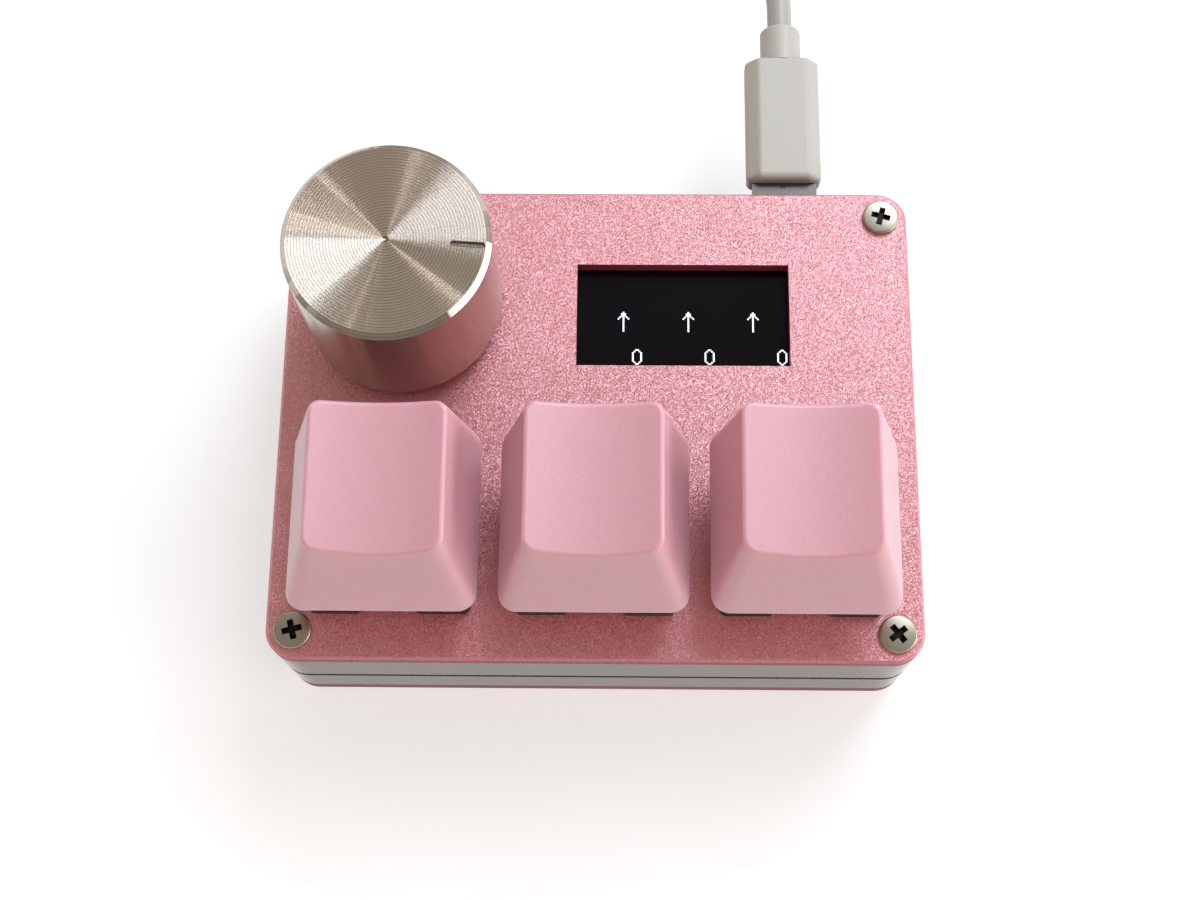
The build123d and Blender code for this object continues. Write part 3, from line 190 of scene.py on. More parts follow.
@dataclass(frozen=True)
class Finish:
    """What a surface is made of. A subclass says how the surface was made, in its shade method."""

    name: str
    colour: str
    roughness: float = 0.5
    metallic: float = 0.0
    ior: float = 1.5
    built: ClassVar[dict[str, bpy.types.Material]] = {}

    def material(self) -> bpy.types.Material:
        """Builds the material on its first use and gives the same one after that."""
        if self.name not in self.built:
            made = bpy.data.materials.new(self.name)
            tree = empty_tree(made)
            plain = {"Roughness": self.roughness, "Metallic": self.metallic, "IOR": self.ior}
            shader = add_node(tree, "ShaderNodeBsdfPrincipled", {"Base Color": linear(self.colour), **plain})
            add_node(tree, "ShaderNodeOutputMaterial", {"Surface": shader})
            self.shade(tree, shader)
            self.built[self.name] = made
        return self.built[self.name]

    def shade(self, tree: Tree, shader: Node) -> None:
        """Adds the pattern of this finish to the shader.

        Args:
            tree: The material's node tree.
            shader: Its Principled BSDF.
        """
        raise NotImplementedError

    def place(self, tree: Tree) -> Socket:
        """Gives the object coordinates, in metres in the part's frame."""
        return add_node(tree, "ShaderNodeTexCoord").outputs["Object"]

    def noise(self, tree: Tree, size_mm: float, where: Source | None = None, **inputs: float) -> Node:
        """Adds a soft noise.

        Args:
            tree: The material's node tree.
            size_mm: The size of its features.
            where: The coordinates, if they aren't the object's own.
            inputs: The noise's other inputs by name.

        Returns:
            The noise node.
        """
        shape = {"Scale": 1 / (size_mm * MM), "Vector": where or self.place(tree)}
        return add_node(tree, "ShaderNodeTexNoise", {**shape, **inputs})

    def relief(self, shader: Node, height: Source, height_mm: float, strength: float = 1.0) -> None:
        """Raises the surface by a pattern.

        Args:
            shader: The Principled BSDF.
            height: The pattern, from zero to one.
            height_mm: How high a value of one stands.
            strength: How much of the bump shows.
        """
        rise = {"Height": height, "Distance": height_mm * MM, "Strength": strength}
        feed(shader, {"Normal": add_node(shader.id_data, "ShaderNodeBump", rise)})

    def paint(self, shader: Node, value: Source, colour: Source | None = None) -> None:
        """Colours the surface.

        Args:
            shader: The Principled BSDF.
            value: How light the colour is at each place, as a share of its own value.
            colour: The colour, if it isn't the finish's own.
        """
        look = {"Color": colour or linear(self.colour), "Value": value}
        feed(shader, {"Base Color": add_node(shader.id_data, "ShaderNodeHueSaturation", look)})

    def grain(self, tree: Tree, shader: Node, width_mm: float, height_mm: float, spread: float) -> None:
        """Gives the surface a moulded grain: a fine bump, and a colour that varies a little with it.

        Args:
            tree: The material's node tree.
            shader: Its Principled BSDF.
            width_mm: The width of one grain.
            height_mm: The height of one grain.
            spread: How far the colour varies, as a share of its value.
        """
        noise = self.noise(tree, width_mm, Detail=2.0, Roughness=0.6)
        self.relief(shader, noise, height_mm)
        self.paint(shader, remap(tree, noise, 1 - spread, 1 + spread, NOISE_SPAN))


@dataclass(frozen=True)
class BlastedAnodised(Finish):
    """Aluminium, blasted with fine beads and dyed in the anodising bath.

    Each bead leaves a facet at an angle of its own, so the metal glitters in pink. The clear oxide over it
    throws back white. A few facets get a painted glint: white painted into their colour as a highlight.
    The cut sides have a thin oxide only, and their darker colour is painted shade.
    """

    facet_mm: float = 0.08  # the real pits are about 0.06 mm across and are drawn coarser, so that they show
    facet_tilt: float = 0.45
    value_spread: float = 0.16
    # a painted glint: a few random facets turn white in their colour, standing in for highlights
    painted_glint_colour: str = "#FFF2F6"
    painted_glint_share: float = 0.3
    painted_glint_from: float = 0.6  # facets above this random level take the painted glint's colour
    oxide_ior: float = 2.8
    oxide_roughness: float = 0.4
    # painted shade: the cut sides are coloured darker than the top
    shaded_side_colour: str = "#94404F"

    def shade(self, tree: Tree, shader: Node) -> None:
        """Tilts every facet by a random amount, under a clear oxide layer, and paints in glints and shaded
        sides.
        """
        pits = {"Scale": 1 / (self.facet_mm * MM), "Vector": self.place(tree)}
        facets = add_node(tree, "ShaderNodeTexVoronoi", pits).outputs["Color"]
        surface = add_node(tree, "ShaderNodeNewGeometry").outputs["Normal"]
        centred = vector_calc(tree, "SUBTRACT", facets, (0.5, 0.5, 0.5))
        tilted = vector_calc(tree, "MULTIPLY_ADD", centred, (self.facet_tilt,) * 3, surface)
        normal = vector_calc(tree, "NORMALIZE", tilted)
        flatness = calc(tree, "ABSOLUTE", parts_of(tree, surface)[2])
        feed(shader, {"Normal": normal, "Coat Normal": normal, "Coat Weight": flatness})
        feed(shader, {"Coat IOR": self.oxide_ior, "Coat Roughness": self.oxide_roughness})
        level = parts_of(tree, facets)[2]
        vary = remap(tree, level, 1 - self.value_spread, 1 + self.value_spread)
        # the cut sides take the darker colour as painted shade, and the flat faces take the pink
        dye_and_side_shade = mix(tree, flatness, linear(self.shaded_side_colour), linear(self.colour))
        dyed = add_node(tree, "ShaderNodeHueSaturation", {"Color": dye_and_side_shade, "Value": vary})
        # painted glint: the brightest random facets on the flat faces are mixed towards white
        glint = remap(tree, level, 0.0, self.painted_glint_share, (self.painted_glint_from, 1.0))
        bright = calc(tree, "MULTIPLY", glint, flatness)
        feed(shader, {"Base Color": mix(tree, bright, dyed, linear(self.painted_glint_colour))})


@dataclass(frozen=True)
class MouldedPlastic(Finish):
    """A moulded plastic. Its mould was spark-eroded, which leaves a fine matte grain."""

    grain_mm: float = 0.12  # real grain is about 0.05 mm wide and is drawn coarser, so that it shows
    grain_height_mm: float = 0.004
    spread: float = 0.03
    glow_mm: float = 0.0
    glow_share: float = 0.0
    glow_radii: tuple[float, float, float] = (1.0, 0.35, 0.45)  # red light goes farthest inside the plastic
    lacquer: float = 0.0
    lacquer_ior: float = 1.8

    def shade(self, tree: Tree, shader: Node) -> None:
        """Adds the grain, and light that spreads inside where the plastic is milky."""
        self.grain(tree, shader, self.grain_mm, self.grain_height_mm, self.spread)
        feed(shader, {"Coat Weight": self.lacquer, "Coat IOR": self.lacquer_ior})
        feed(shader, {"Coat Roughness": self.roughness})
        if self.glow_share:
            feed(shader, {"Subsurface Weight": self.glow_share, "Subsurface Radius": self.glow_radii})
            feed(shader, {"Subsurface Scale": self.glow_mm * MM})


@dataclass(frozen=True)
class TurnedAluminium(Finish):
    """Aluminium, faced and turned on a lathe.

    The tool leaves fine rings on the crown. They spread a highlight along the radius, so light from one side
    shows as two opposite bright wedges. The side is turned finer and mirrors its surroundings softly. Its
    darker colour is painted shade, and so is the darker pointer slot.
    """

    axis_mm: tuple[float, float] = (-19.75, 12.0)
    crown_from: float = 0.97  # faces that look up more than this belong to the crown
    ring_mm: float = 0.1
    band_mm: float = 0.3  # the wear of the tool shows in bands of a few rings
    band_spread: float = 0.12
    slot_below_mm: float = 33.85  # the pointer's foot lies under this height
    # how much darker the pointer's slot is painted: painted shade in its recess
    slot_painted_shade: float = 0.45
    ring_slope: float = 0.73
    crown_dish: float = 0.32
    spokes: int = 40
    spoke_slope: float = 0.014
    side_sway: float = 9.0  # how much more the side sways than the crown
    side_roughness: float = 0.13
    # a darker colour painted on the side than on the crown: painted shade that dims the side's reflection
    shaded_side_colour: str = "#B5A99D"

    def shade(self, tree: Tree, shader: Node) -> None:
        """Stretches the highlight across the tool's rings and adds the rings themselves."""
        place = self.place(tree)
        radial = vector_calc(tree, "SUBTRACT", place, metres(*self.axis_mm, 0.0))
        flat = vector_calc(tree, "MULTIPLY", radial, (1.0, 1.0, 0.0))
        to_world = {"vector_type": "VECTOR", "convert_from": "OBJECT", "convert_to": "WORLD"}
        outward = vector_calc(tree, "NORMALIZE", flat)
        world_out = add_node(tree, "ShaderNodeVectorTransform", {0: outward}, **to_world)
        around = vector_calc(tree, "CROSS_PRODUCT", UP, world_out)
        normal = add_node(tree, "ShaderNodeNewGeometry").outputs["Normal"]
        crown = calc(tree, "GREATER_THAN", parts_of(tree, normal)[2], self.crown_from)

        reach = vector_calc(tree, "LENGTH", flat).outputs["Value"]
        wear = calc(tree, "SINE", calc(tree, "MULTIPLY", reach, FULL_TURN / (self.band_mm * MM)))
        bands = calc(tree, "MULTIPLY_ADD", wear, self.band_spread, 1 - self.band_spread / 2)
        # the pointer's slot on the crown is painted darker, as painted shade
        deep = calc(tree, "LESS_THAN", parts_of(tree, place)[2], self.slot_below_mm * MM)
        slot = calc(tree, "MULTIPLY", deep, crown)
        value = calc(tree, "MULTIPLY_ADD", slot, -self.slot_painted_shade, bands)
        # the side takes the darker painted shade, and the crown takes the metal's own colour
        self.paint(shader, value, mix(tree, crown, linear(self.shaded_side_colour), linear(self.colour)))

        # a wave that rises and falls once in each ring leans the face out and in, and the dish leans it in
        wave = calc(tree, "PINGPONG", calc(tree, "MULTIPLY", reach, 1 / (self.ring_mm * MM)), 0.5)
        slope = calc(tree, "MULTIPLY_ADD", wave, 4 * self.ring_slope, -self.ring_slope - self.crown_dish)
        lean = scaled(tree, world_out, calc(tree, "MULTIPLY", slope, crown))
        leaning = vector_calc(tree, "ADD", normal, lean)
        swaying = vector_calc(tree, "ADD", leaning, self.sway(tree, flat, around, crown))
        across = vector_calc(tree, "CROSS_PRODUCT", around, normal)
        feed(shader, {"Roughness": remap(tree, crown, self.side_roughness, self.roughness)})
        feed(shader, {"Normal": vector_calc(tree, "NORMALIZE", swaying), "Tangent": across})
        feed(shader, {"Anisotropic": 1.0})

    def sway(self, tree: Tree, flat: Source, around: Source, crown: Source) -> Node:
        """Sways the face a little from spoke to spoke, which gives the wedges crisp rays.

        Args:
            tree: The material's node tree.
            flat: The level vector from the axis.
            around: The level direction in which the knob turns.
            crown: One on the crown and zero on the side.

        Returns:
            A node that gives the lean of the face along the turn.
        """
        sides = parts_of(tree, flat)
        angle = calc(tree, "ARCTAN2", sides[1], sides[0])
        fan = {"Scale": self.spokes / FULL_TURN, "W": angle}
        spoke = add_node(tree, "ShaderNodeTexVoronoi", fan, voronoi_dimensions="1D").outputs["Color"]
        tilt = remap(tree, parts_of(tree, spoke)[0], -self.spoke_slope, self.spoke_slope)
        share = remap(tree, crown, self.side_sway, 1.0)
        return scaled(tree, around, calc(tree, "MULTIPLY", tilt, share))


@dataclass(frozen=True)
class PlatedMetal(Finish):
    """Steel or brass with a plated coat, drawn or stamped. It shows a soft mirror with faint clouding."""

    cloud_mm: float = 1.5
    spread: float = 0.03
    glossier: float = 0.03  # how far the roughness falls below its usual level in the clouds
    duller: float = 0.04

    def shade(self, tree: Tree, shader: Node) -> None:
        """Varies the gloss and the shade in soft clouds."""
        clouds = self.noise(tree, self.cloud_mm, Detail=4.0)
        low, high = self.roughness - self.glossier, self.roughness + self.duller
        feed(shader, {"Roughness": remap(tree, clouds, low, high, NOISE_SPAN)})
        self.paint(shader, remap(tree, clouds, 1 - self.spread, 1 + self.spread, NOISE_SPAN))


@dataclass(frozen=True)
class CutAcrylic(Finish):
    """Cast acrylic sheet, cut by laser. The cut edge is clear, with fine upright lines from the beam."""

    clear: float = 0.78
    mirror: float = 0.04  # the beam leaves the cut edge less glossy than the faces
    line_mm: float = 0.3
    line_stretch: float = 0.04
    line_depth_mm: float = 0.01
    line_strength: float = 0.6

    def shade(self, tree: Tree, shader: Node) -> None:
        """Lets light through and ripples the cut edge with the beam's upright lines."""
        feed(shader, {"Transmission Weight": self.clear, "Specular IOR Level": self.mirror})
        upright = vector_calc(tree, "MULTIPLY", self.place(tree), (1.0, 1.0, self.line_stretch))
        lines = self.noise(tree, self.line_mm, upright.outputs[0], Detail=2.0)
        self.relief(shader, lines, self.line_depth_mm, self.line_strength)


@dataclass(frozen=True)
class ClosedCellFoam(Finish):
    """Foam or rubber sheet. Its cut cells swallow light, so it reads as a soft, dark line."""

    cell_mm: float = 0.25
    cell_depth_mm: float = 0.03
    spread: float = 0.2

    def shade(self, tree: Tree, shader: Node) -> None:
        """Pits the surface with cut cells."""
        self.grain(tree, shader, self.cell_mm, self.cell_depth_mm, self.spread)


@dataclass(frozen=True)
class CoverGlass(Finish):
    """The polished glass of a display, black from behind, with a faint trace of its backing."""

    haze_mm: float = 6.0
    spread: float = 0.4
    mirror: float = 0.15

    def shade(self, tree: Tree, shader: Node) -> None:
        """Keeps the mirror weak and clouds the black a little."""
        feed(shader, {"Specular IOR Level": self.mirror})
        self.paint(shader, remap(tree, self.noise(tree, self.haze_mm), 1 - self.spread, 1 + self.spread))


@dataclass(frozen=True)
class LitPixel(Finish):
    """An organic light-emitting pixel: flat, white and lit from within."""

    light: str = "#F4F8FF"
    strength: float = 1.0
    grain_mm: float = 0.08
    grain_height_mm: float = 0.0005
    spread: float = 0.05

    def shade(self, tree: Tree, shader: Node) -> None:
        """Makes the pixel glow, over the faint grain of its cell."""
        feed(shader, {"Emission Color": linear(self.light), "Emission Strength": self.strength})
        self.grain(tree, shader, self.grain_mm, self.grain_height_mm, self.spread)


@dataclass(frozen=True)
class SolderMask(Finish):
    """Glass-epoxy board under a printed mask. Fine copper tracks raise the mask a little."""

    cell_mm: float = 1.2
    track_share: float = 0.12  # the tracks' half width, as a share of a cell
    track_height_mm: float = 0.035

    def shade(self, tree: Tree, shader: Node) -> None:
        """Raises tracks under the mask as the edges of large cells."""
        cells = {"Scale": 1 / (self.cell_mm * MM), "Vector": self.place(tree)}
        tracks = add_node(tree, "ShaderNodeTexVoronoi", cells, feature="DISTANCE_TO_EDGE")
        self.relief(shader, remap(tree, tracks, 1.0, 0.0, (0.0, self.track_share)), self.track_height_mm)


class Finishes:
    """Every finish of the keypad."""

    ANODISED = BlastedAnodised("anodised_aluminium", "#D4535F", roughness=0.5, metallic=0.4)
    # the bottom plate: its oxide mirrors less, and its cut sides are painted darker still, as painted shade
    ANODISED_BELOW = BlastedAnodised(
        "anodised_aluminium_below", "#D4535F", roughness=0.5, metallic=0.4,
        oxide_ior=1.5, shaded_side_colour="#7A3E4B",
    )
    KEYCAP = MouldedPlastic(
        "keycap_abs", "#DBA5B0", roughness=0.42, ior=1.65, spread=0.09,
        glow_mm=2.5, glow_share=0.6, lacquer=0.6,
    )
    KNOB = TurnedAluminium("turned_aluminium", "#DCCDBF", roughness=0.17, metallic=1.0)
    NICKEL = PlatedMetal("nickel_plated_steel", "#B9B0A0", roughness=0.36, metallic=1.0)
    DRAWN = PlatedMetal("drawn_steel", "#6E6A66", roughness=0.3, metallic=1.0)
    # painted shade: a dark steel on the faces inside each screw's cross stands in for the shade in the recess
    RECESS_SHADE = PlatedMetal("recess_painted_shade", "#2B2723", roughness=0.45, metallic=1.0)
    BRASS = PlatedMetal("nickel_plated_brass", "#D6CBB4", roughness=0.25, metallic=1.0)
    BRONZE = PlatedMetal("phosphor_bronze", "#D9A766", roughness=0.3, metallic=1.0)
    TINNED = PlatedMetal("solder_tin", "#C9CACB", roughness=0.2, metallic=1.0)
    GROUND_STEEL = PlatedMetal("turned_steel", "#C6C2BA", roughness=0.28, metallic=1.0)
    ACRYLIC = CutAcrylic("cast_acrylic", "#927565", roughness=0.12, ior=1.49)
    FOAM = ClosedCellFoam("closed_cell_foam", "#1B1511", roughness=0.9)
    FEET = ClosedCellFoam("silicone_rubber", "#232323", roughness=0.75, cell_mm=0.18)
    BOARD = SolderMask("solder_mask", "#14211B", roughness=0.35)
    EPOXY = MouldedPlastic("moulded_epoxy", "#1A1A1B", roughness=0.5)
    GLASS = CoverGlass("display_glass", "#060708", roughness=0.06)
    ACTIVE = CoverGlass("display_active_area", "#0C0A0E", roughness=0.12)
    PIXEL = LitPixel("lit_pixel", "#20242A", strength=1.6)
    FILM = MouldedPlastic("polyimide_film", "#8A5A22", roughness=0.3, spread=0.05)
    ENCODER = MouldedPlastic("glass_filled_nylon", "#1B1F1E", roughness=0.5)
    HOUSING = MouldedPlastic("switch_nylon", "#1C1C1E", roughness=0.42)
    COVER = MouldedPlastic("milky_polycarbonate", "#C9C6C6", roughness=0.25, glow_mm=1.0, glow_share=0.4)
    STEM = MouldedPlastic("acetal_stem", "#B0192A", roughness=0.35)
    INSERT = MouldedPlastic("knob_insert_abs", "#202022", roughness=0.5)
    WHITE = MouldedPlastic("white_tpe", "#BDBAB2", roughness=0.42, spread=0.03, glow_mm=0.6, glow_share=0.2)
    CABLE = MouldedPlastic("white_pvc", "#AFABA5", roughness=0.36, spread=0.03)
    STRAP = MouldedPlastic("silicone_strap", "#DAD9D7", roughness=0.6, spread=0.02)


# ---------------------------------------------------------------- pieces


def dress(finish: Finish, *nodes: str) -> None:
    """Gives CAD nodes a finish through their material slots.

    Args:
        finish: The finish.
        nodes: The nodes' names.
    """
    for node in nodes:
        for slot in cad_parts[node].material_slots:
            slot.material = finish.material()
    LOG.info("dressed %s in %s", ", ".join(nodes), finish.name)


def set_out(name: str, data: bpy.types.ID) -> Thing:
    """Makes an object of a mesh, a curve, a lamp or a camera and puts it in the scene."""
    made = bpy.data.objects.new(name, data)
    bpy.context.scene.collection.objects.link(made)
    return made


def add_piece(name: str, mesh: Mesh, finish: Finish) -> Thing:
    """Makes a piece of a mesh that is already in place, and sets it on the case.

    Args:
        name: The piece's name.
        mesh: Its mesh, in metres in the part's frame.
        finish: Its finish.

    Returns:
        The new object.
    """
    piece = set_out(name, mesh)
    if not mesh.materials:
        mesh.materials.append(finish.material())
    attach(piece, CASE_BODY)
    LOG.info("made %s with %d faces", name, len(mesh.polygons))
    return piece


def loft(name: str, rings: Sequence[Sequence[Vector]]) -> Mesh:
    """Joins rings of points, one after the other, and closes both ends.

    Args:
        name: The mesh's name.
        rings: Rings with the same number of points, in metres.

    Returns:
        The closed mesh, with its faces pointing outwards.
    """
    form = bmesh.new()
    made = [[form.verts.new(point) for point in ring] for ring in rings]
    for ring, following in zip(made, made[1:]):
        for step in range(len(ring)):
            other = (step + 1) % len(ring)
            form.faces.new((ring[step], following[step], following[other], ring[other]))
    form.faces.new(made[0])
    form.faces.new(made[-1][::-1])
    bmesh.ops.recalc_face_normals(form, faces=form.faces)
    mesh = bpy.data.meshes.new(name)
    form.to_mesh(mesh)
    form.free()
    return mesh


def smooth(mesh: Mesh, sharp_degrees: float) -> None:
    """Smooths a mesh, except at edges that bend more than an angle."""
    mesh.shade_smooth()
    mesh.set_sharp_from_angle(angle=math.radians(sharp_degrees))


def plain_mesh(holder: Thing) -> Mesh:
    """Makes one plain mesh of an object and its modifiers."""
    graph = bpy.context.evaluated_depsgraph_get()
    return bpy.data.meshes.new_from_object(holder.evaluated_get(graph), depsgraph=graph)


@dataclass
class Scatter:
    """Sets copies of one small mesh at given places with Geometry Nodes, and makes one plain mesh of them."""

    name: str
    unit: Mesh
    finish: Finish
    places: Sequence[Vector]
    turns: Sequence[Vector]
    # the finish for the faces marked sunk, a painted shade
    sunk: Finish | None = None
    size: float = 1.0

    def tree(self) -> Tree:
        """Builds the node tree: points in, turned copies of the unit out.

        Returns:
            The tree, with inputs for the places, the unit and its size.
        """
        tree = bpy.data.node_groups.new(f"{self.name}_layout", "GeometryNodeTree")
        inputs = {"Places": "Geometry", "Unit": "Object", "Unit Size": "Float"}
        for label, kind in inputs.items():
            tree.interface.new_socket(label, in_out="INPUT", socket_type=f"NodeSocket{kind}")
        tree.interface.new_socket("Copies", in_out="OUTPUT", socket_type="NodeSocketGeometry")
        entry = add_node(tree, "NodeGroupInput").outputs
        unit = add_node(tree, "GeometryNodeObjectInfo", {"Object": entry["Unit"]}).outputs["Geometry"]
        turn = add_node(tree, "GeometryNodeInputNamedAttribute", {"Name": "turn"}, data_type="FLOAT_VECTOR")
        layout = {"Points": entry["Places"], "Instance": unit, "Scale": entry["Unit Size"]}
        layout["Rotation"] = turn.outputs["Attribute"]
        copies = add_node(tree, "GeometryNodeInstanceOnPoints", layout)
        solid = add_node(tree, "GeometryNodeRealizeInstances", {0: copies})
        paint = {"Geometry": solid, "Material": self.finish.material()}
        painted = add_node(tree, "GeometryNodeSetMaterial", paint)
        # faces marked sunk get the second finish, a painted shade
        if self.sunk:
            inside = add_node(tree, "GeometryNodeInputNamedAttribute", {"Name": "sunk"}, data_type="BOOLEAN")
            paint = {"Geometry": painted, "Material": self.sunk.material()}
            paint["Selection"] = inside.outputs["Attribute"]
            painted = add_node(tree, "GeometryNodeSetMaterial", paint)
        add_node(tree, "NodeGroupOutput", {0: painted})
        return tree

    def mesh(self) -> Mesh:
        """Sets out the copies.

        Returns:
            One mesh of all the copies, in place.
        """
        points = bpy.data.meshes.new(f"{self.name}_places")
        points.from_pydata(list(self.places), [], [])
        spin = points.attributes.new("turn", "FLOAT_VECTOR", "POINT")
        for index, turn in enumerate(self.turns):
            spin.data[index].vector = turn
        holder = set_out(f"{self.name}_holder", points)
        sample = set_out(f"{self.name}_unit", self.unit)
        layout = holder.modifiers.new("layout", "NODES")
        layout.node_group = self.tree()
        wanted = {"Unit": sample, "Unit Size": self.size}
        for item in layout.node_group.interface.items_tree:
            if item.name in wanted and item.in_out == "INPUT":
                layout[item.identifier] = wanted[item.name]
        made = plain_mesh(holder)
        holder.modifiers.clear()
        for helper in (holder, sample):
            bpy.data.objects.remove(helper)
        return made


# ---------------------------------------------------------------- studio


@dataclass
class Lamp:
    """A soft rectangular lamp that looks at the keypad from afar."""

    name: str
    azimuth: float  # degrees from +Y, the back, towards +X
    elevation: float
    level: float  # what a white surface that faces it shows
    width_mm: float
    height_mm: float
    colour: str = "#FFFFFF"
    roll: float = 0.0  # degrees about the line to the keypad
    mirrored: bool = True
    distance_mm: float = 600.0
    aim_mm: tuple[float, float, float] = (0.0, 0.0, 20.0)

    def hang(self) -> None:
        """Makes the lamp, turned towards the middle of the keypad and hidden from the camera."""
        data = bpy.data.lights.new(self.name, "AREA")
        data.shape = "RECTANGLE"
        data.size = self.width_mm * MM
        data.size_y = self.height_mm * MM
        data.color = linear(self.colour)[:3]
        data.energy = self.level * math.pi**2 * (self.distance_mm * MM) ** 2
        lamp = set_out(self.name, data)
        around, up = math.radians(self.azimuth), math.radians(self.elevation)
        towards = Vector((math.sin(around) * math.cos(up), math.cos(around) * math.cos(up), math.sin(up)))
        lamp.location = metres(*self.aim_mm) + towards * self.distance_mm * MM
        turned = towards.to_track_quat("Z", "Y") @ Quaternion(UP, math.radians(self.roll))
        lamp.rotation_euler = turned.to_euler()
        lamp.visible_camera = False
        lamp.visible_glossy = self.mirrored


@dataclass
class Studio:
    """The camera, a pale floor and soft light."""

    eye_mm: tuple[float, float, float] = (2.80636, -55.63888, 183.34231)
    elevation: float = 72.51693
    yaw: float = -2.68457
    roll: float = -2.23300
    lens_mm: float = 52.1404
    sensor_mm: float = 36.0
    clip_mm: float = 5.0
    floor_mm: float = 4000.0
    floor_sides: int = 96
    floor_colour: str = "#CFCFCE"
    glow_from_mm: float = 50.0  # the floor's own white rises from this far out
    glow_to_mm: float = 300.0  # and is full from here on
    glow_near: float = 0.5
    glow_far: float = 0.95
    room_colour: str = "#FFF4E9"
    room_level: float = 0.37
    backdrop_height: float = 0.15  # mirrors see white up to this height over the horizon, as a sine
    lamps: tuple[Lamp, ...] = (
        Lamp("window", 29, 46, 0.58, 350, 300, "#E3F0FF", roll=-25),
        Lamp("window_veil", 29, 46, 0.28, 350, 300, "#E9F2FF", roll=-25, mirrored=False),
        Lamp("front_fill", 200, 50, 0.23, 700, 420, "#FFE9E1", mirrored=False),
        Lamp("side_window", 100, 17, 0.5, 660, 150),
        Lamp("back_strip", -8, 49, 0.015, 28, 200, roll=-16),
        Lamp("left_strip", -31.6, 45.5, 0.018, 22, 200, roll=13),
        Lamp("low_strip", 73, 45, 0.01, 22, 200, roll=-23),
    )

    def set_camera(self) -> None:
        """Sets the camera, with its frame level set by yaw, elevation and roll."""
        up, turn, lean = (math.radians(a) for a in (self.elevation, self.yaw, self.roll))
        ahead = Vector((math.sin(turn) * math.cos(up), math.cos(turn) * math.cos(up), -math.sin(up)))
        side = Vector((math.cos(turn), -math.sin(turn), 0.0))
        over = side.cross(ahead)
        right = side * math.cos(lean) + over * math.sin(lean)
        above = over * math.cos(lean) - side * math.sin(lean)
        data = bpy.data.cameras.new("camera")
        data.sensor_width = self.sensor_mm
        data.lens = self.lens_mm
        data.clip_start = self.clip_mm * MM
        camera = set_out("camera", data)
        turned = Matrix((right, above, -ahead)).transposed().to_4x4()
        camera.matrix_world = Matrix.Translation(metres(*self.eye_mm)) @ turned
        bpy.context.scene.camera = camera

    def seen_by(self, tree: Tree, *rays: Ray) -> Socket:
        """Adds up the kinds of ray that see the backdrop.

        Args:
            tree: The node tree.
            rays: The kinds of ray.

        Returns:
            An output that gives one for those rays and zero for the others.
        """
        path = add_node(tree, "ShaderNodeLightPath").outputs
        total = path[rays[0].value]
        for ray in rays[1:]:
            total = calc(tree, "MAXIMUM", total, path[ray.value]).outputs[0]
        return total

    def lay_floor(self) -> None:
        """Lays the floor: pale, white where nothing shades it, and plain white far off."""
        mesh = bpy.data.meshes.new("floor")
        form = bmesh.new()
        bmesh.ops.create_circle(form, cap_ends=True, segments=self.floor_sides, radius=self.floor_mm * MM)
        form.to_mesh(mesh)
        form.free()
        paint = bpy.data.materials.new("floor_paper")
        tree = empty_tree(paint)
        matte = add_node(tree, "ShaderNodeBsdfDiffuse", {"Color": linear(self.floor_colour)})
        where = add_node(tree, "ShaderNodeTexCoord").outputs["Object"]
        away = vector_calc(tree, "LENGTH", where).outputs["Value"]
        span = (self.glow_from_mm * MM, self.glow_to_mm * MM)
        rise = remap(tree, away, self.glow_near, self.glow_far, span)
        seen = self.seen_by(tree, Ray.CAMERA, Ray.GLOSSY, Ray.TRANSMISSION)
        glow = add_node(tree, "ShaderNodeEmission", {"Strength": calc(tree, "MULTIPLY", rise, seen)})
        both = add_node(tree, "ShaderNodeAddShader", {0: matte, 1: glow})
        add_node(tree, "ShaderNodeOutputMaterial", {"Surface": both})
        mesh.materials.append(paint)
        set_out("floor", mesh)

    def light_room(self) -> None:
        """Lights the room: an even, slightly warm level, and a white backdrop for camera and mirrors."""
        world = bpy.data.worlds.new("room")
        tree = empty_tree(world)
        air = {"Color": linear(self.room_colour), "Strength": self.room_level}
        even = add_node(tree, "ShaderNodeBackground", air)
        white = add_node(tree, "ShaderNodeBackground", {"Color": linear("#FFFFFF"), "Strength": 1.0})
        height = parts_of(tree, add_node(tree, "ShaderNodeTexCoord").outputs["Generated"])[2]
        low = remap(tree, height, 1.0, 0.0, (0.0, self.backdrop_height))
        near = calc(tree, "MULTIPLY", low, self.seen_by(tree, Ray.GLOSSY, Ray.TRANSMISSION))
        share = calc(tree, "MAXIMUM", near, self.seen_by(tree, Ray.CAMERA))
        mixed = add_node(tree, "ShaderNodeMixShader", {0: share, 1: even, 2: white})
        add_node(tree, "ShaderNodeOutputWorld", {"Surface": mixed})
        bpy.context.scene.world = world
        for lamp in self.lamps:
            lamp.hang()

    def build(self) -> None:
        """Sets up the whole studio."""
        self.set_camera()
        self.lay_floor()
        self.light_room()
        bpy.context.scene.view_settings.view_transform = "Standard"
        LOG.info("set the camera, the floor and %d lamps", len(self.lamps))


# ---------------------------------------------------------------- sub-assemblies


Coats = dict[Finish, Sequence[str]]


@dataclass
class Assembly:
    """Pieces of the frame that keep their shapes and only get their finishes."""

    coats: ClassVar[Coats] = {}

    def build(self) -> None:
        """Dresses each group of pieces."""
        for finish, nodes in self.coats.items():
            dress(finish, *nodes)


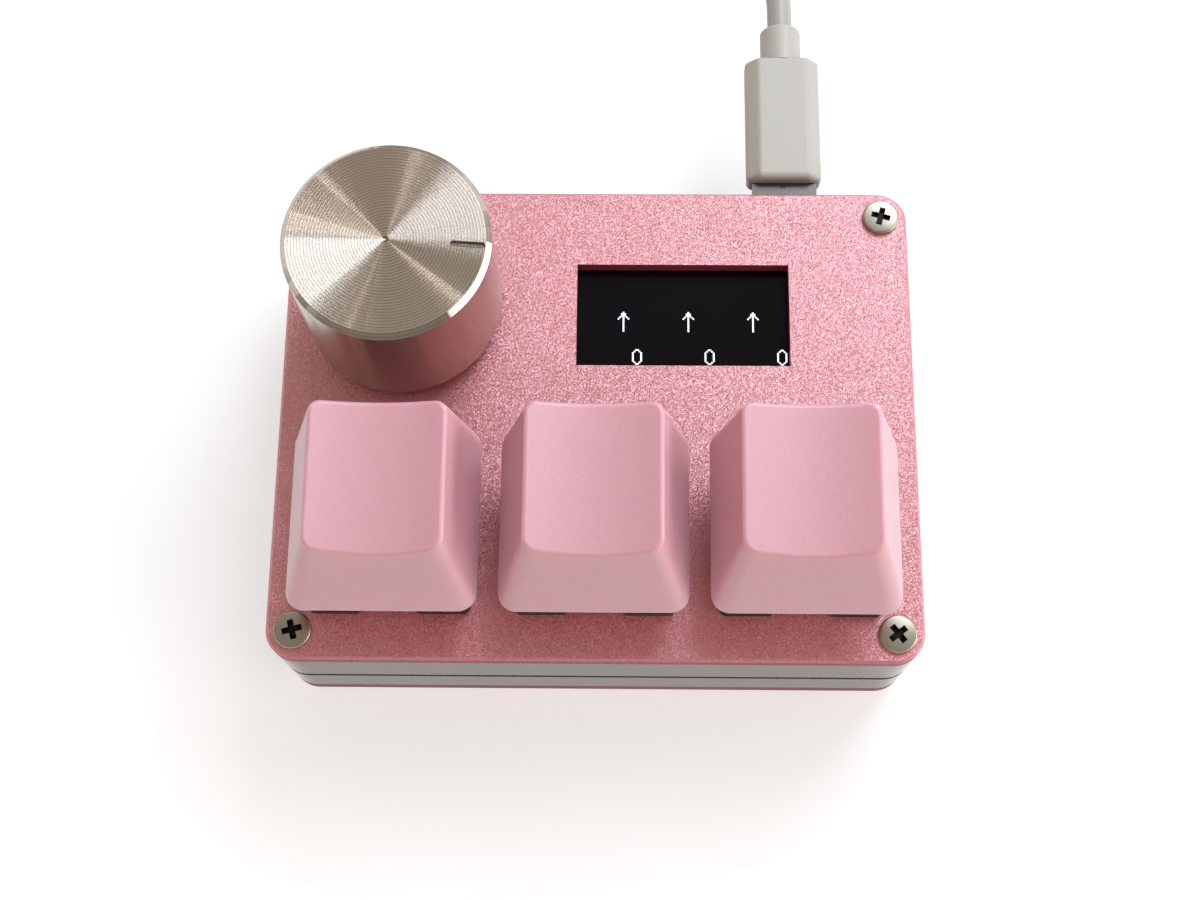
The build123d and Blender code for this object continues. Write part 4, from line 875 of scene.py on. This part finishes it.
@dataclass
class Lead(Assembly):
    """The USB lead: a plug, its relief, the cord with its spare length wound up, and the far-end plug."""

    coats: ClassVar[Coats] = {
        Finishes.WHITE: ("micro_plug_overmold", "micro_plug_relief", "usb_a_overmold"),
        Finishes.DRAWN: ("micro_plug_shell",),
        Finishes.NICKEL: ("usb_a_shell",),
        Finishes.INSERT: ("usb_a_insert",),
        Finishes.STRAP: ("cable_ties",),
    }
    plug_nodes: ClassVar[tuple[str, ...]] = (
        *("micro_plug_shell", "micro_plug_overmold", "micro_plug_relief"),
        *("usb_a_shell", "usb_a_insert", "usb_a_overmold", "cable_ties"),
    )
    diameter_mm: float = 2.7
    length_mm: float = 925.0
    exit_mm: tuple[float, float, float] = (19.7, 46.1, 13.75)
    from_plug_mm: tuple[tuple[float, float, float], ...] = (
        (19.7, 46.1, 13.75),
        (19.7, 53.6, 13.75),
        (18.3, 60.4, 11.3),
        (14.1, 65.8, 6.6),
        (6.6, 68.5, 2.4),
        (-2.0, 68.9, 1.35),
        (-10.5, 69.8, 1.75),
    )
    to_plug_mm: tuple[tuple[float, float, float], ...] = (
        (-14.0, 106.6, 4.45),
        (-9.8, 106.8, 4.15),
        (-5.8, 106.9, 3.8),
        (-2.0, 106.9, 3.8),
    )
    coil_mm: tuple[float, float] = (-17.0, 88.0)
    turns: float = 8.5
    points_per_turn: int = 16
    column_radii_mm: tuple[float, ...] = (13.5, 16.2, 18.9)
    row_heights_mm: tuple[float, ...] = (1.75, 4.45, 7.15)
    # the column and the row of each place, in the order of winding
    winding: tuple[tuple[int, int], ...] = (
        (2, 0), (1, 0), (0, 0),
        (0, 1), (0, 2), (1, 2),
        (2, 2), (1, 1), (2, 1),
    )
    step_share: float = 0.16  # how much of a turn the cord takes to move over to its next place
    bevel_steps: int = 5
    steps_per_point: int = 4

    def coil_point(self, turn: float) -> Vector:
        """Finds one point of the wound length.

        Args:
            turn: How many turns lie before it.

        Returns:
            The control point, a little outside the cord's line, as a spline cuts inside its points.
        """
        per_place = self.turns / len(self.winding)
        radius = self.column_radii_mm[self.winding[0][0]]
        height = self.row_heights_mm[self.winding[0][1]]
        for index, (column, row) in enumerate(self.winding[1:], 1):
            ahead = (turn - index * per_place) / self.step_share + 0.5
            share = min(max(ahead, 0.0), 1.0)
            share = share * share * (3 - 2 * share)
            radius += share * (self.column_radii_mm[column] - radius)
            height += share * (self.row_heights_mm[row] - height)
        radius /= math.cos(math.pi / self.points_per_turn)
        angle = -math.pi / 2 - FULL_TURN * turn
        x, y = self.coil_mm
        return Vector((x + radius * math.cos(angle), y + radius * math.sin(angle), height))

    def build(self) -> None:
        """Makes the cord along its route and dresses the plugs."""
        count = round(self.turns * self.points_per_turn)
        coil = [self.coil_point(step / self.points_per_turn) for step in range(count + 1)]
        route = [*map(Vector, self.from_plug_mm), *coil, *map(Vector, self.to_plug_mm)]
        curve = bpy.data.curves.new("usb_cord", "CURVE")
        curve.dimensions = "3D"
        curve.bevel_depth = self.diameter_mm * MM / 2
        curve.bevel_resolution = self.bevel_steps
        curve.resolution_u = self.steps_per_point
        spline = curve.splines.new("NURBS")
        spline.points.add(len(route) - 1)
        for point, place in zip(spline.points, route):
            point.co = (*(place * MM), 1.0)
        spline.order_u = 3
        spline.use_endpoint_u = True
        cord = set_out("usb_cord", curve)
        curve.materials.append(Finishes.CABLE.material())
        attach(cord, CASE_BODY)
        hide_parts("cable", "cable_end", "cable_coil")
        LOG.info("made the cord of %d points", len(route))
        super().build()


@dataclass
class CaseStack(Assembly):
    """The two plates, the acrylic frames between them, the gasket, the standoffs and the feet."""

    coats: ClassVar[Coats] = {
        Finishes.ANODISED: ("top_plate",),
        Finishes.ANODISED_BELOW: ("bottom_plate",),
        Finishes.ACRYLIC: ("upper_frame", "lower_frame", "base_frame"),
        Finishes.FOAM: ("mid_gasket", "display_foam"),
        Finishes.FEET: ("rubber_feet",),
        Finishes.BRASS: ("standoffs",),
    }


@dataclass
class ScrewSet:
    """The pan-head screws with their cross recesses, four above and four below."""

    head_mm: float = 3.7
    head_height_mm: float = 0.65
    edge_mm: float = 0.2
    edge_steps: int = 4
    crown_drop_mm: float = 0.12
    crown_shares: tuple[float, ...] = (0.2, 0.4, 0.6, 0.75, 0.9)
    shank_mm: float = 1.9
    shank_length_mm: float = 5.0
    tip_mm: float = 0.25
    recess_across_mm: float = 2.1
    recess_width_mm: float = 0.62
    recess_depth_mm: float = 0.5
    recess_mouth: float = 1.06  # how wide the cutter is at its top, as a share of the cross
    recess_foot: float = 0.55
    cutter_over_mm: float = 0.1
    # these pick the faces inside the cross, which take a painted shade
    recess_reach: float = 1.02  # faces within this share of the cross's radius may belong to it,
    flat_from: float = 0.9  # unless they look up more than this near the head's top
    rim_mm: float = 0.02
    sharp_degrees: float = 30.0
    facets: int = 48
    corner_mm: tuple[float, float] = (29.3, 22.0)
    turns: tuple[float, ...] = (15.0, 38.0, -15.0, 60.0)

    def profile(self) -> list[tuple[float, float]]:
        """Gives the screw's outline from the middle of its head to its tip, as radius and height."""
        head, shank, tip = self.head_mm / 2, self.shank_mm / 2, -self.shank_length_mm
        flat, shoulder = head - self.edge_mm, self.head_height_mm - self.crown_drop_mm
        crown = [(flat * s, self.head_height_mm - self.crown_drop_mm * s * s) for s in self.crown_shares]
        rim = [
            (head - self.edge_mm * (1 - math.sin(a)), shoulder - self.edge_mm * (1 - math.cos(a)))
            for a in (math.pi / 2 * step / self.edge_steps for step in range(self.edge_steps + 1))
        ]
        foot = [(head, 0.0), (shank, 0.0), (shank, tip + self.tip_mm), (shank - self.tip_mm, tip)]
        return [*crown, *rim, *foot]

    def body(self) -> Mesh:
        """Turns the outline round the screw's axis.

        Returns:
            The screw without its recess, standing on the underside of its head.
        """
        angles = [FULL_TURN * step / self.facets for step in range(self.facets)]
        return loft(
            "screw",
            [
                [metres(radius * math.cos(a), radius * math.sin(a), height) for a in angles]
                for radius, height in self.profile()
            ],
        )

    def cutter(self) -> Mesh:
        """Makes the cross that is sunk into the head, narrower at its foot.

        Returns:
            A closed cross that starts just above the head.
        """
        mouth = (self.head_height_mm + self.cutter_over_mm, self.recess_mouth)
        foot = (self.head_height_mm - self.recess_depth_mm, self.recess_foot)
        quarters = [Matrix.Rotation(quarter * math.pi / 2, 3, "Z") for quarter in range(4)]
        rings = []
        for height, share in (mouth, foot):
            arm, half = self.recess_across_mm / 2 * share, self.recess_width_mm / 2 * (0.5 + share / 2)
            corners = ((half, -half), (arm, -half), (arm, half))
            rings.append([turn @ metres(x, y, height) for turn in quarters for x, y in corners])
        return loft("recess", rings)

    def unit(self) -> Mesh:
        """Sinks the cross into the head, smooths the round faces and marks the cross for painted shade.

        Returns:
            The finished screw.
        """
        screw = set_out("screw", self.body())
        cross = set_out("recess", self.cutter())
        cut = screw.modifiers.new("recess", "BOOLEAN")
        cut.object = cross
        cut.solver = "EXACT"
        made = plain_mesh(screw)
        for helper in (screw, cross):
            bpy.data.objects.remove(helper)
        smooth(made, self.sharp_degrees)
        reach = self.recess_across_mm / 2 * self.recess_reach
        half_deep = self.head_height_mm - self.recess_depth_mm / 2
        top = self.head_height_mm - self.rim_mm
        inside = made.attributes.new("sunk", "BOOLEAN", "FACE")
        for face in made.polygons:
            away, height = face.center.xy.length / MM, face.center.z / MM
            in_cross = face.normal.z < self.flat_from or height < half_deep
            inside.data[face.index].value = away < reach and in_cross and 0 < height < top
        return made

    def build(self) -> None:
        """Sets four screws on the top plate and four under the bottom plate."""
        unit = self.unit()
        x, y = self.corner_mm
        corners = ((-x, -y), (x, -y), (x, y), (-x, y))
        seat_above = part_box("top_screws")[1].z / MM - self.head_height_mm
        seat_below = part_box("bottom_screws")[0].z / MM + self.head_height_mm
        for name, height, flip in (("top_screws", seat_above, 0.0), ("bottom_screws", seat_below, math.pi)):
            places = [metres(px, py, height) for px, py in corners]
            spins = [Vector((flip, 0.0, math.radians(turn))) for turn in self.turns]
            scatter = Scatter(name, unit, Finishes.NICKEL, places, spins, Finishes.RECESS_SHADE)
            piece = add_piece(f"{name}_phillips", scatter.mesh(), Finishes.NICKEL)
            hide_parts(name)


@dataclass
class Display(Assembly):
    """The display: black glass, the slightly lighter lit area, and the lit pixels of its signs."""

    coats: ClassVar[Coats] = {
        Finishes.GLASS: ("display_panel",),
        Finishes.FILM: ("display_flex",),
    }
    pitch_mm: float = 0.17
    fill: float = 0.97
    active_mm: tuple[float, float] = (21.74, 10.86)
    active_centre_mm: tuple[float, float] = (8.55, 10.95)
    lift_mm: float = 0.012
    active_gap_mm: float = 0.003
    pixel_gap_mm: float = 0.002
    arrow_x_mm: tuple[float, ...] = (2.63, 9.33, 16.0)
    arrow_top_mm: float = 12.05
    zero_x_mm: tuple[float, ...] = (4.04, 11.49, 18.94)
    zero_top_mm: float = 7.93
    arrow: tuple[str, ...] = ("...#...", "..###..", "..###..", ".#.#.#.", "#..#..#", *("...#...",) * 8)
    zero: tuple[str, ...] = ("..##..", ".#..#.", *("#....#",) * 6, ".#..#.", "..##..")

    def sign(self, rows: Sequence[str], centre_x: float, top: float, height: float) -> list[Vector]:
        """Finds the lit pixels of one sign.

        Args:
            rows: The sign's rows, with # for a lit pixel.
            centre_x: The middle of the sign, in millimetres.
            top: Its upper edge.
            height: The height of the glass.

        Returns:
            The middle of each lit pixel.
        """
        places = []
        for row, line in enumerate(rows):
            for column, mark in enumerate(line):
                if mark == "#":
                    x = centre_x + (column - (len(line) - 1) / 2) * self.pitch_mm
                    places.append(metres(x, top - (row + 0.5) * self.pitch_mm, height))
        return places

    def tile(self, name: str, width: float, depth: float, centre: Vector) -> Mesh:
        """Makes a thin bevelled tile.

        Args:
            name: The mesh's name.
            width: Its width in millimetres.
            depth: Its depth.
            centre: The middle of its underside, in metres.

        Returns:
            The tile's mesh.
        """
        rings = []
        for inset in (0.0, self.lift_mm):
            w, d = width / 2 - inset, depth / 2 - inset
            rings.append([centre + metres(x, y, inset) for x, y in ((-w, -d), (w, -d), (w, d), (-w, d))])
        return loft(name, rings)

    def build(self) -> None:
        """Dresses the panel and lights its signs."""
        super().build()
        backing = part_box("display_panel")[1].z / MM + self.active_gap_mm
        centre = metres(*self.active_centre_mm, backing)
        active = self.tile("display_active_area", *self.active_mm, centre)
        add_piece("display_active_area", active, Finishes.ACTIVE)
        height = backing + self.lift_mm + self.pixel_gap_mm
        places = []
        for x in self.arrow_x_mm:
            places += self.sign(self.arrow, x, self.arrow_top_mm, height)
        for x in self.zero_x_mm:
            places += self.sign(self.zero, x, self.zero_top_mm, height)
        side = self.pitch_mm * self.fill
        unit = self.tile("pixel", side, side, Vector())
        pixels = Scatter("pixels", unit, Finishes.PIXEL, places, [Vector()] * len(places))
        add_piece("display_pixels", pixels.mesh(), Finishes.PIXEL)


@dataclass
class Knob(Assembly):
    """The push-and-turn control: the encoder below and the turned knob on its shaft."""

    coats: ClassVar[Coats] = {
        Finishes.KNOB: ("knob",),
        Finishes.INSERT: ("knob_insert",),
        Finishes.GROUND_STEEL: ("encoder_shaft",),
        Finishes.NICKEL: ("encoder_cover", "encoder_dome"),
        Finishes.ENCODER: ("encoder_base", "encoder_rotor"),
        Finishes.BRONZE: ("encoder_pins",),
    }


@dataclass
class CoilSpring:
    """A spring of round wire."""

    node: str
    joint: str
    travel_mm: float = 4.0
    wire_mm: float = 0.3
    turns: int = 7
    steps_per_turn: int = 20
    sides: int = 8
    sharp_degrees: float = 60.0

    def mesh(self) -> Mesh:
        """Sweeps the wire's round section along its coil.

        Returns:
            The closed spring, as tall and as wide as its node.
        """
        low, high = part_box(self.node)
        wire = self.wire_mm * MM / 2
        reach, lift = (high.x - low.x) / 2 - wire, high.z - low.z - 2 * wire
        foot = Vector(((low.x + high.x) / 2, (low.y + high.y) / 2, low.z + wire))
        up, steps = Vector(UP), self.turns * self.steps_per_turn
        corners = [FULL_TURN * side / self.sides for side in range(self.sides)]
        rings = []
        for step in range(steps + 1):
            angle = FULL_TURN * step / self.steps_per_turn
            out = Vector((math.cos(angle), math.sin(angle), 0.0))
            heart = foot + out * reach + up * (lift * step / steps)
            rings.append([heart + (out * math.cos(a) + up * math.sin(a)) * wire for a in corners])
        mesh = loft(f"{self.node}_coil", rings)
        smooth(mesh, self.sharp_degrees)
        return mesh

    def build(self) -> None:
        """Sets the spring in its switch, with its foot on the housing."""
        piece = add_piece(f"{self.node}_coil", self.mesh(), Finishes.GROUND_STEEL)
        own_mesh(piece)
        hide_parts(self.node)


@dataclass
class KeyRow:
    """The three keys: each has a keycap on a plate-mounted switch."""

    keys: int = 3

    def build(self) -> None:
        """Dresses every key from its cap down to its socket."""
        for key in range(1, self.keys + 1):
            dress(Finishes.KEYCAP, f"keycap_{key}")
            dress(Finishes.COVER, f"switch_{key}_upper_housing")
            dress(Finishes.HOUSING, f"switch_{key}_lower_housing", f"switch_{key}_socket")
            dress(Finishes.STEM, f"switch_{key}_stem")
            CoilSpring(f"switch_{key}_spring", f"key_{key}_press").build()
            dress(Finishes.BRONZE, f"switch_{key}_contacts")


@dataclass
class Board(Assembly):
    """The circuit board with its soldered parts and the port for the lead."""

    coats: ClassVar[Coats] = {
        Finishes.BOARD: ("circuit_board",),
        Finishes.EPOXY: ("controller_chip", "small_components", "edge_lamps", "usb_port_tongue"),
        Finishes.TINNED: ("crystal",),
        Finishes.NICKEL: ("usb_port_shell",),
    }


def main() -> None:
    """Builds the studio and every sub-assembly."""
    logging.basicConfig(level=logging.INFO, format="%(name)s: %(message)s")
    for assembly in (Studio(), Lead(), CaseStack(), ScrewSet(), Display(), Knob(), KeyRow(), Board()):
        assembly.build()


if __name__ == "__main__":
    main()
